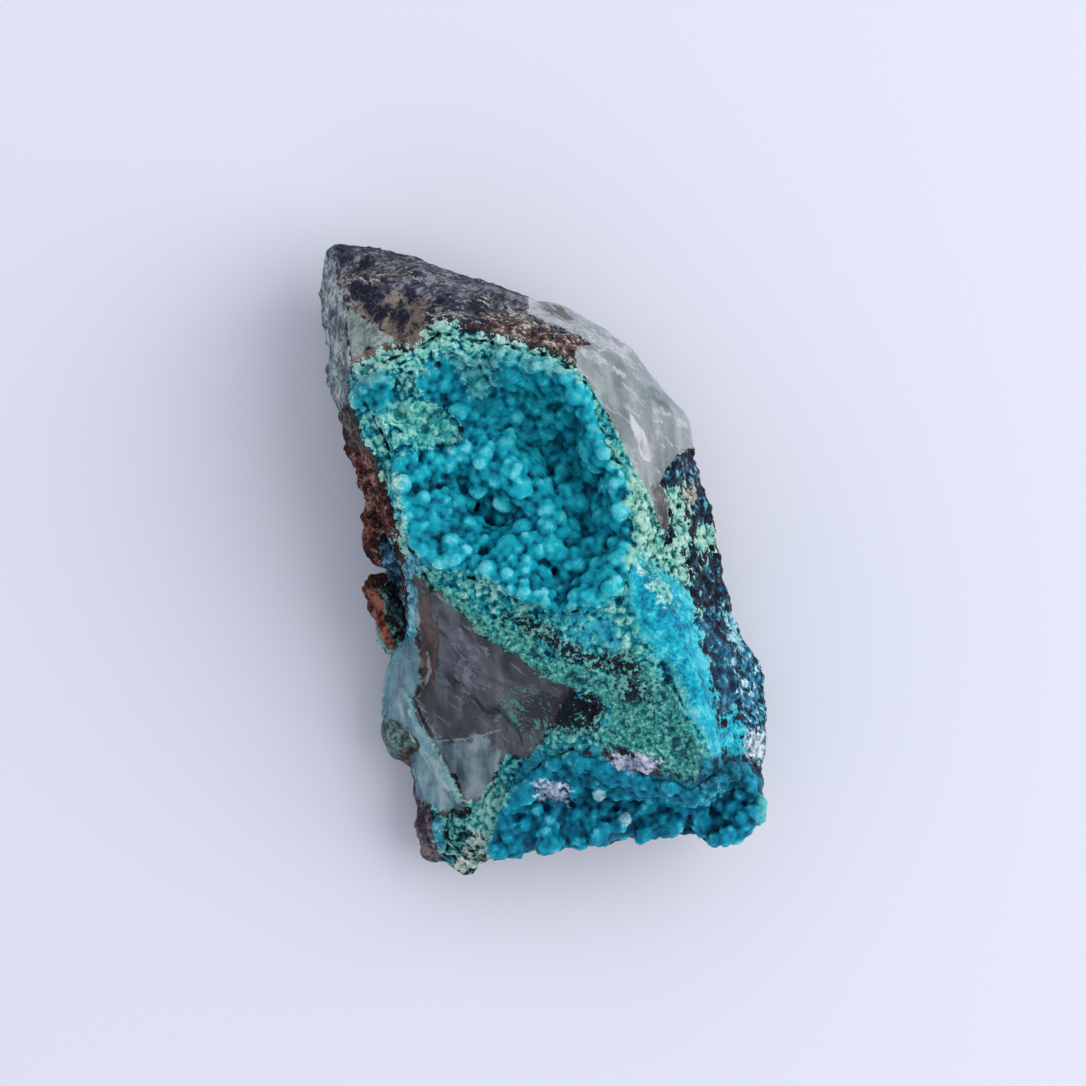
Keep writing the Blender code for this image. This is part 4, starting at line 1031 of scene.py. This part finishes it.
def paintShadeInPits(tree, colour, low, high, tint):
    # painted shade in the pits: the colour is multiplied by the tint, from none at a depth of "low" to the
    # full tint at "high", in mm
    depth = addNode(tree, "Attribute", {"attribute_name": "pits"}).outputs["Fac"]
    share = addNode(tree, "MapRange", {1: low, 2: high}, {0: depth}).outputs[0]
    return addNode(tree, "Mix", {"data_type": "RGBA", "blend_type": "MULTIPLY", 7: linear(tint)},
                   {0: share, 6: colour}).outputs[2]


def newMaterial(name, shaderSettings):
    made = bpy.data.materials.new(name)
    made.use_nodes = True
    shader = made.node_tree.nodes["Principled BSDF"]
    for key, value in shaderSettings.items():
        shader.inputs[key].default_value = value
    return made, made.node_tree, shader


def finishShader(tree, fields, shader, painted, bumpDistance):
    colour, roughness, relief = painted
    height = addNode(tree, "Mix", {0: 0.4}, {2: fields["grain"], 3: fields["fine"]}).outputs[0]
    bump = addNode(tree, "Bump", {"Distance": bumpDistance * mm}, {"Strength": relief, "Height": height})
    tree.links.new(colour, shader.inputs["Base Color"])
    tree.links.new(roughness, shader.inputs["Roughness"])
    tree.links.new(bump.outputs[0], shader.inputs["Normal"])


# How a mineral's coat lies inside its zone, where the coat doesn't say otherwise.
plainCoat = {
    "ragged": 1.0,  # mm by which the "edge" pattern breaks up its outline
    "start": 0.0,  # mm inside its zone
    "soft": 0.12,  # mm over which it fades
    "cover": 1.0,
    "rough": 0.8,
    "relief": 1.0,  # the strength of the fine bump on it
}


def coat(zone, pattern, stops, **settings):
    # the pattern picks the colour from the stops; "where" keeps to the places at which another one is high
    return {**plainCoat, "zone": zone, "pattern": pattern, "stops": stops, **settings}


spongeStops = [(0.04, "04384C"), (0.2, "06728C"), (0.42, "1F9CA6"), (0.62, "55BCB2"), (0.8, "8CD6C6"),
               (0.96, "C2EBDF")]
paleRind = coat("paleRind", "sponge", [(0.06, "0C4C60"), (0.2, "2A96A0"), (0.42, "6CC6B8"), (0.7, "A4E0D0"),
                (0.95, "D6F4EA")], ragged=2.2, soft=0.1, rough=0.85, relief=1.3)
blackStain = coat("blackBands", "blotchGrain", [(0.2, "0B0F1C"), (0.68, "1C2030"), (0.76, "2C6668"),
                  (0.95, "6CB8A8")], ragged=2.4, start=-0.1, soft=0.08, rough=0.5)
bareRock = coat("lilacBare", "blotchGrain", [(0.1, "64809C"), (0.4, "9EA6BC"), (0.85, "E0E4EE")],
                ragged=1.4, start=0.3, soft=0.3, rough=0.7)
glassyRims = [
    coat("knifeRidge", "blotchGrain", [(0.1, "7CBCC4"), (0.5, "A4D8D8"), (0.9, "D4F0EC")], ragged=0.6,
         rough=0.4),
    coat("cyanLine", "blotchGrain", [(0.1, "2C94B0"), (0.5, "58B8C8"), (0.9, "9CDCE0")], ragged=0.5,
         soft=0.2, rough=0.5),
]
rockCoats = [
    coat("rustFlank", "blotchGrain", [(0.1, "141317"), (0.35, "38201F"), (0.58, "623730"), (0.78, "7C4C40"),
         (0.96, "9C8478")], ragged=2),
    coat("flakeDark", "blotchGrain", [(0.12, "1E2C34"), (0.45, "446066"), (0.85, "90BCBC")], ragged=1.2,
         rough=0.6),
    coat("flakeGreen", "blotchGrain", [(0.15, "1A2A2E"), (0.4, "2C605A"), (0.7, "5CA08E"),
         (0.92, "9CCCB8")], ragged=1.5),
    coat("rustRim", "blotchGrain", [(0.15, "4A2622"), (0.5, "7C3F34"), (0.9, "A8685A")], ragged=0.8,
         soft=0.25),
    coat("flakeBlue", "blotchGrain", [(0.15, "1F3A4C"), (0.6, "2F7090"), (0.9, "72A8BC")], ragged=1.5,
         rough=0.6),
    coat("brownFace", "blotchGrain", [(0.06, "1E202C"), (0.26, "3A3A45"), (0.48, "5E5957"), (0.7, "78726C"),
         (0.9, "9C9892")], ragged=0.8, rough=0.7),
    coat("brownFace", "fine", [(0.2, "8C8E8E"), (0.8, "CFD3D4")], where=("streakGrain", 0.78, 0.9),
         cover=0.8, rough=0.6),
    coat("brownFace", "fine", [(0.2, "15161F"), (0.8, "2A2A3A")], where=("streak", 0.3, 0.12), cover=0.8,
         rough=0.55),
    coat("navyPatch", "blotchGrain", [(0.12, "1A1E30"), (0.45, "363A52"), (0.75, "54576A"),
         (0.94, "9094A0")], ragged=2.5, cover=0.65, rough=0.55),
    coat("tipDark", "blotchGrain", [(0.15, "14202C"), (0.5, "2E4450"), (0.85, "5C8A90")], ragged=1.5,
         rough=0.6),
    coat("topEdge", "blotchGrain", [(0.12, "181B29"), (0.45, "303446"), (0.78, "4E5264"), (0.95, "888C9A")],
         ragged=1.6, soft=0.4, cover=0.7, rough=0.55),
    coat("tanPatch", "blotch", [(0.12, "23242F"), (0.2, "4A4442"), (0.32, "6C6259"), (0.6, "7F7468"),
         (0.92, "978C80")], ragged=2.2),
    coat("blackSpots", "grain", [(0.2, "14151F"), (0.6, "25273A"), (0.9, "4A4C5A")], ragged=0.8,
         start=-0.15, soft=0.1, rough=0.7),
    coat("greyTriangle", "blotchGrain", [(0.1, "727E7A"), (0.45, "8E9C96"), (0.9, "ABB8B0")], ragged=0.5,
         soft=0.1, rough=0.5),
    coat("rustBand", "blotchGrain", [(0.1, "221D24"), (0.35, "4A3A38"), (0.6, "6C5046"), (0.8, "8A786E"),
         (0.95, "C8C2B8")], ragged=2),
    coat("leftStrip", "blotchGrain", [(0.1, "4A575E"), (0.4, "728286"), (0.65, "95A4A2"), (0.92, "C2CDC8")],
         ragged=0.8, rough=0.5),
    coat("greenCrust", "fine", [(0.2, "0C101C"), (0.8, "1F2A3A")], ragged=1.6, start=-0.4, rough=0.7),
    coat("greenCrust", "sponge", spongeStops, ragged=1.4, rough=0.85, relief=1.2),
    coat("ledge", "grain", [(0.04, "12404C"), (0.2, "257C7C"), (0.5, "409A92"), (0.8, "60B8A8"),
         (0.97, "90D8C8")], ragged=1.4, soft=0.5, rough=0.85, relief=1.3),
    # darker teal in the ledge's deepest pits: painted shade, together with its dark specks
    coat("ledge", "fine", [(0.2, "0E3846"), (0.8, "1A6476")], where=("raised", 0.3, 0.1), cover=0.85),
    coat("rimShade", "blotchGrain", [(0.1, "2C5050"), (0.5, "4B7C72"), (0.9, "76AC9C")], soft=0.3,
         cover=0.8),
    blackStain,
    coat("bluePocket", "blotch", [(0.1, "0A6E8A"), (0.5, "1690AC"), (0.9, "3CB4C4")], ragged=2, soft=0.4,
         rough=0.7),
    coat("navySlope", "flecks", [(0.28, "050C1A"), (0.5, "0A1C34"), (0.66, "0C3E5C"), (0.82, "1A7292"),
         (0.97, "74C4D0")], ragged=1.2, rough=0.38, relief=1.6),
    coat("azurite", "flecks", [(0.2, "0C0E22"), (0.5, "1E2C5C"), (0.72, "245486"), (0.92, "7CC4BC")],
         ragged=1.5, soft=0.3, rough=0.35),
    coat("tanSpot", "flecks", [(0.2, "2A2832"), (0.45, "7C685E"), (0.85, "D4C8BC")], ragged=1.2, soft=0.2,
         rough=0.7),
    coat("slateSheen", "blotch", [(0.1, "062C48"), (0.5, "165E80"), (0.9, "469CB8")], ragged=2, soft=0.6,
         cover=0.9, rough=0.45),
    coat("mintPatches", "sponge", [(0.08, "1A3038"), (0.22, "3F8A86"), (0.42, "72C0AC"), (0.75, "A8DEC8"),
         (0.95, "CFF0E0")], ragged=3, rough=0.85, relief=1.2),
    coat("edgeSpeckle", "flecks", [(0.22, "0A2032"), (0.38, "1C566E"), (0.58, "1690AE"), (0.78, "6CB0C2"),
         (0.95, "D8ECF0")], ragged=2.5, rough=0.5),
    coat("edgeLine", "blotchGrain", [(0.1, "3C9CB8"), (0.5, "7CC8D4"), (0.9, "C0E8EC")], ragged=0.8,
         soft=0.2, rough=0.5),
    coat("whitePatch", "streakGrain", [(0.2, "4C6C80"), (0.45, "A4B8C4"), (0.8, "E6ECF2")], ragged=2,
         rough=0.55),
    coat("cyanSlope", "edge", [(0.08, "067490"), (0.36, "08A2BE"), (0.66, "18BACE"), (0.94, "5CD2DA")],
         ragged=2.2, soft=0.2, rough=0.6, relief=0.9),
    coat("frost", "edge", [(0.1, "3CB8C6"), (0.5, "78D4D4"), (0.9, "B4EAE6")], ragged=1.2, soft=0.5,
         cover=0.4, rough=0.6),
    paleRind,
    coat("lowerBeaded", "blotch", [(0.1, "043A52"), (0.5, "086882"), (0.9, "1F90A6")], soft=0.4, rough=0.6),
    coat("palePatch", "edge", [(0.1, "2E9EA2"), (0.4, "5EC4B6"), (0.85, "A4E4D6")], ragged=1.4, rough=0.85),
    coat("seamBlue", "streakGrain", [(0.1, "22607A"), (0.45, "4A9CB6"), (0.85, "92D2DC")], rough=0.6),
    coat("knobGreen", "blotchGrain", [(0.1, "26383E"), (0.5, "48625F"), (0.9, "7E9A98")], rough=0.3),
    *glassyRims,
    coat("cornerDark", "sponge", [(0.2, "0E1820"), (0.42, "1F5C64"), (0.62, "3F9690"), (0.9, "8CD0BC")],
         ragged=1.6),
    coat("cornerGreen", "sponge", [(0.1, "187A8A"), (0.45, "54B4AA"), (0.9, "B0E2D0")], ragged=1.6,
         rough=0.85),
    coat("paleFringe", "flecks", [(0.22, "1C2228"), (0.42, "6FA59A"), (0.64, "C4D2C4"), (0.9, "ECE9DE")],
         ragged=1.6, start=-0.3, rough=0.75),
    coat("cornerBrown", "blotchGrain", [(0.15, "332C38"), (0.5, "564A56"), (0.9, "86787C")], ragged=0.8,
         rough=0.6),
    coat("cornerBlue", "blotch", [(0.15, "1C6E98"), (0.5, "2F98B8"), (0.9, "86D0D4")], rough=0.6),
    # painted shade in the hollow under the ledge, over its dark teal crust
    coat("deepCavity", "patch", [(0.15, "012434"), (0.5, "055068"), (0.9, "2A98AC")], start=-0.2, soft=0.4,
         rough=0.6),
    bareRock,
]


def makeRock():
    # iron-stained vein rock with malachite and azurite crusts, broken by hand: dull, gritty, no highlights
    rock, tree, shader = newMaterial("vein_rock_with_copper_crusts", {
        "IOR": 1.55, "Metallic": 0.0, "Specular IOR Level": 0.15
    })
    fields = mineralFields(tree)
    flank = addNode(tree, "ValToRGB", {"stops": [
        (0.05, "1C1D22"), (0.3, "3E3B3A"), (0.55, "625B54"), (0.8, "7E776E"), (0.96, "4E8478")
    ]}, {0: fields["edge"]}).outputs[0]
    colour, roughness, relief = paintZones(tree, fields, rockCoats, flank, roughness=0.8, relief=1.0)
    # painted shade in the rock's pits and cracks
    colour = paintShadeInPits(tree, colour, low=0.04, high=0.2, tint="A0B0B8")
    finishShader(tree, fields, shader, (colour, roughness, relief), bumpDistance=0.2)
    return rock


quartzCoats = [
    coat("quartzPale", "blotchGrain", [(0.1, "A6B2B4"), (0.5, "CCD6D8"), (0.85, "F4F7F8")], ragged=2,
         soft=0.5, rough=0.22),
    coat("quartzGreen", "blotch", [(0.15, "2C4C48"), (0.5, "56746E"), (0.85, "9AAEA8")], ragged=1.5,
         soft=0.5, cover=0.8, rough=0.15),
    coat("quartzBrown", "blotch", [(0.15, "2E2826"), (0.5, "4C423E"), (0.85, "7C726C")], ragged=1.2,
         soft=0.3, rough=0.35),
    # painted glints: crisp white lines on the clear quartz
    coat("quartzShoulder", "fine", [(0.2, "C4CED0"), (0.8, "F2F5F6")], where=("glintLines", 0.82, 0.94),
         cover=0.75, rough=0.3),
    # painted highlights along the quartz's facet edges
    coat("clearStreaks", "patch", [(0.2, "B4C0C2"), (0.6, "E4EAEC"), (0.9, "FAFBFC")], ragged=0.35,
         cover=0.8, rough=0.3),
    # painted reflection: the white flash off cracks inside the quartz
    coat("quartzFlash", "flow", [(0.15, "B4B4C0"), (0.45, "E4E0EA"), (0.75, "FFFFFF")], ragged=0.2,
         soft=0.06, rough=0.2),
]
smokyCoats = [
    coat("lilacClouds", "blotch", [(0.15, "3C4452"), (0.45, "625F74"), (0.9, "9A98B0")], ragged=3.5,
         soft=0.5, cover=0.8, rough=0.2),
    coat("greyTeal", "cloud", [(0.1, "4E6A78"), (0.45, "74949F"), (0.9, "BCD0D4")], ragged=1.5, soft=0.5,
         rough=0.15),
    coat("smokyBrown", "blotch", [(0.15, "24282A"), (0.45, "44302C"), (0.9, "7C5044")], soft=0.3,
         rough=0.4),
    # painted glints: pale lines on the smoky quartz
    coat("smokyQuartz", "fine", [(0.2, "8A94A0"), (0.8, "B8C0C8")], where=("glintLines", 0.88, 1.0),
         cover=0.45, rough=0.3),
    coat("crackLine", "fine", [(0.2, "98B4BA"), (0.8, "CCDCE0")], ragged=0.2, start=-0.04, soft=0.06,
         cover=0.7, rough=0.4),
    coat("flecksWhite", "blotch", [(0.2, "6A687C"), (0.8, "B0AEBC")], ragged=0.8, cover=0.7, rough=0.3),
    coat("paleBlue", "cloud", [(0.1, "5F94A8"), (0.45, "88BCCA"), (0.75, "ACD8E0"), (0.95, "D8F2F4")],
         ragged=0.8, soft=0.25, rough=0.25),
    *glassyRims,
    {**blackStain, "ragged": 4.5, "start": -0.4},
]


def makeQuartz(name, coats, stops, transmission, absorbing, density):
    # massive quartz, broken with a shell-like fracture: cloudy, glassy gloss, some light passes into it and
    # the stone's inside takes it up, "density" being for each metre
    quartz, tree, shader = newMaterial(name, {
        "IOR": 1.544, "Transmission Weight": transmission, "Metallic": 0.0
    })
    fields = mineralFields(tree)
    base = addNode(tree, "ValToRGB", {"stops": stops}, {0: fields["cloud"]}).outputs[0]
    worn = addNode(tree, "MapRange", {1: 0.2, 2: 0.9, 3: 0.05, 4: 0.22}, {0: fields["patch"]}).outputs[0]
    painted = paintZones(tree, fields, coats, base, roughness=worn, relief=0.25)
    finishShader(tree, fields, shader, painted, bumpDistance=0.12)
    inside = addNode(tree, "VolumeAbsorption", {"Color": linear(absorbing), "Density": density})
    tree.links.new(inside.outputs[0], tree.nodes["Material Output"].inputs["Volume"])
    return quartz


chrysocollaCoats = [
    paleRind,
    coat("bluePocket", "patch", [(0.15, "0A6A80"), (0.85, "1F9FB4")], ragged=1.2, soft=0.5, cover=0.5,
         rough=0.6),
    coat("mintPatches", "sponge", [(0.15, "4FA39A"), (0.85, "9CD6C2")], ragged=2),
    coat("palePatch", "edge", [(0.1, "2E9EA2"), (0.4, "5EC4B6"), (0.85, "A4E4D6")], ragged=1.2, relief=1.5),
    # painted shade in the hollow under the ledge, over its dark teal beads
    coat("deepCavity", "patch", [(0.15, "012030"), (0.5, "04485E"), (0.9, "1C8498")], start=-0.2, soft=0.5,
         cover=0.9, rough=0.6),
    # a pale blue cluster, lighter on its raised balls: painted highlights on them
    coat("paleCluster", "fine", [(0.15, "1294BC"), (0.85, "7CCCDC")], where=("raised", 0.6, 1.0), cover=0.6,
         rough=0.4),
    coat("paleBalls", "grain", [(0.15, "6CB8C8"), (0.85, "CDE8EC")], ragged=0.3, cover=0.9, rough=0.5),
    # painted shade on the upper hollow's walls, in darker teal
    coat("tealDeep", "blotch", [(0.15, "04667A"), (0.5, "078EA2"), (0.85, "1CACB8")], ragged=3, soft=1.2,
         cover=0.6, rough=0.5),
    # a mint edge whose colour follows the relief, darker in its pits and lighter on its bumps: painted shade
    # and highlight
    coat("paleEdge", "raised", [(0.15, "1C94A0"), (0.85, "6CC4BC")], ragged=1.5, soft=0.6, cover=0.65,
         rough=0.7),
    bareRock,
]


def makeChrysocolla(name, stops, beaded):
    # chrysocolla in round beads with a drusy skin: soft and velvety, and light seeps a little way into it
    made, tree, shader = newMaterial(name, {
        "IOR": 1.5, "Metallic": 0.0, "Specular IOR Level": 0.1, "Subsurface Weight": 0.2,
        "Subsurface Radius": (0.1, 0.9, 1.0), "Subsurface Scale": 0.5 * mm
    })
    fields = mineralFields(tree)
    # painted shade and highlight: the base colour runs from dark teal in the hollows between the beads to
    # light teal on their tops, mixed with blotches
    depth = addNode(tree, "Attribute", {"attribute_name": "hollows"}).outputs["Fac"]
    height = addNode(tree, "MapRange", {1: 0.5, 2: -0.45}, {0: depth}).outputs[0]
    shown = addNode(tree, "Mix", {0: 0.3}, {2: height, 3: fields["blotch"]}).outputs[0]
    base = addNode(tree, "ValToRGB", {"stops": stops}, {0: shown}).outputs[0]
    # pale frost on the beads' raised tops, partly a painted highlight on them
    frost = coat(beaded, "fine", [(0.2, "48BCCA"), (0.8, "A8E4E8")], where=("frostHighlight", 0.7, 1.0),
                 cover=0.25, rough=0.6)
    edge = coat(beaded, "sponge", spongeStops, ragged=1.6, soft=0.2, outside=True, rough=0.85, relief=1.3)
    coats = [edge, frost] + chrysocollaCoats
    colour, roughness, relief = paintZones(tree, fields, coats, base, roughness=0.5, relief=0.7)
    # painted shade in the pits of the beads' skin and between the beads
    colour = paintShadeInPits(tree, colour, low=0.02, high=0.14, tint="5CA8BC")
    finishShader(tree, fields, shader, (colour, roughness, relief), bumpDistance=0.14)
    return made


rock = makeRock()
clearQuartz = makeQuartz("cloudy_quartz", quartzCoats, [
    (0.1, "84928F"), (0.5, "9AA8A7"), (0.9, "B4C0BF")
], transmission=0.4, absorbing="A8B8BC", density=120)
smokyQuartz = makeQuartz("smoky_quartz", smokyCoats, [
    (0.1, "262C32"), (0.5, "434A52"), (0.9, "6C747C")
], transmission=0.4, absorbing="5C6470", density=200)
# the beads' stops run from the painted shade between them to the painted highlight on their tops
upperSkin = makeChrysocolla("chrysocolla_beads", [
    (0.08, "013444"), (0.3, "04677C"), (0.52, "0A93A8"), (0.76, "1CB0C0"), (0.95, "66D4DA")
], "beadedArea")
lowerSkin = makeChrysocolla("deep_chrysocolla_beads", [
    (0.08, "012A42"), (0.35, "02526C"), (0.6, "047892"), (0.84, "1096B0"), (0.97, "40B8C6")
], "lowerBeaded")

# the quartzes on the stone, over the rock: zones, the height at which they give out, and how far the border
# strays from them in mm, by small and by large waves
stoneSkins = [
    (clearQuartz, ["quartzShoulder"], 9, 0.35, 0.0),
    (smokyQuartz, ["smokyQuartz", "paleBlue", "knifeRidge"], 7, 0.5, 1.3),
]
borderGrains = (0.7, 2.4)  # mm


def takeMaterials(piece, ground, skins):
    points = pointsOf(piece)
    small, large = [noiseAt(points, grain) for grain in borderGrains]
    wander = wanderOnFlanks(piece)
    corners = np.zeros(len(piece.data.polygons) * 3, np.int32)
    piece.data.polygons.foreach_get("vertices", corners)
    corners = corners.reshape(-1, 3)
    chosen = np.zeros(len(corners), np.int32)
    piece.data.materials.append(ground)
    for slot, (skin, names, lowest, crisp, wavy) in enumerate(skins, 1):
        piece.data.materials.append(skin)
        reach = reachIntoAny(points, names, lowest) + wander + small * crisp + large * wavy
        chosen[reach[corners].mean(1) > 0] = slot
    piece.data.polygons.foreach_set("material_index", chosen)


takeMaterials(stone, rock, stoneSkins)
upperCrust.data.materials.append(upperSkin)
lowerCrust.data.materials.append(lowerSkin)
print("materials done")

# what each piece stands for
for piece, node, slot in (
    (stone, "stone_matrix", "stone"),
    (upperCrust, "upper_hollow_crust", "chrysocolla"),
    (lowerCrust, "lower_hollow_crust", "chrysocolla"),
):
    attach(piece, "root")
    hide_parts(node)

# A pale sheet under soft light from a window on the right, seen from straight above. In metres.
studio = {
    "floorSize": 3,
    "floorColour": "E4E5EE",
    "skyColour": "DADEEA",
    "skyStrength": 0.86,
    "keyPower": 6.6,
    "keySize": 1.0,
    "keyPlace": (0.66, 0.06, 0.7),
    "keyAim": (0, 0, 0.02),
    "cameraHeight": 1.0,  # above the stone's middle height
    "cameraShift": 0.0019,  # towards the tip
    "middleHeight": 0.022,
    "frameWidth": 0.13575,  # of what lies at the middle height
    "sensorWidth": 36,  # mm
    "clipEnd": 10,
}
bpy.ops.object.select_all(action="DESELECT")
bpy.ops.mesh.primitive_plane_add(size=studio["floorSize"], location=(0, 0, 0))
floor = bpy.context.object
floor.name = "floor"
floor.data.materials.append(newMaterial("matt_paper", {
    "Roughness": 0.9, "Base Color": linear(studio["floorColour"])
})[0])

world = bpy.data.worlds.new("soft_sky")
bpy.context.scene.world = world
world.use_nodes = True
sky = world.node_tree.nodes["Background"]
sky.inputs["Color"].default_value = linear(studio["skyColour"])
sky.inputs["Strength"].default_value = studio["skyStrength"]

bpy.ops.object.select_all(action="DESELECT")
bpy.ops.object.light_add(type="AREA", location=studio["keyPlace"])
key = bpy.context.object
key.data.energy = studio["keyPower"]
key.data.size = studio["keySize"]
key.rotation_euler = (Vector(studio["keyAim"]) - key.location).to_track_quat("-Z", "Y").to_euler()

cameraPlace = (0, studio["cameraShift"], studio["middleHeight"] + studio["cameraHeight"])
bpy.ops.object.camera_add(location=cameraPlace, rotation=(0, 0, 0))
camera = bpy.context.object
camera.data.sensor_width = studio["sensorWidth"]
camera.data.lens = studio["sensorWidth"] * studio["cameraHeight"] / studio["frameWidth"]
camera.data.clip_end = studio["clipEnd"]
bpy.context.scene.camera = camera
bpy.context.scene.view_settings.view_transform = "Standard"
print("floor, light and camera done")
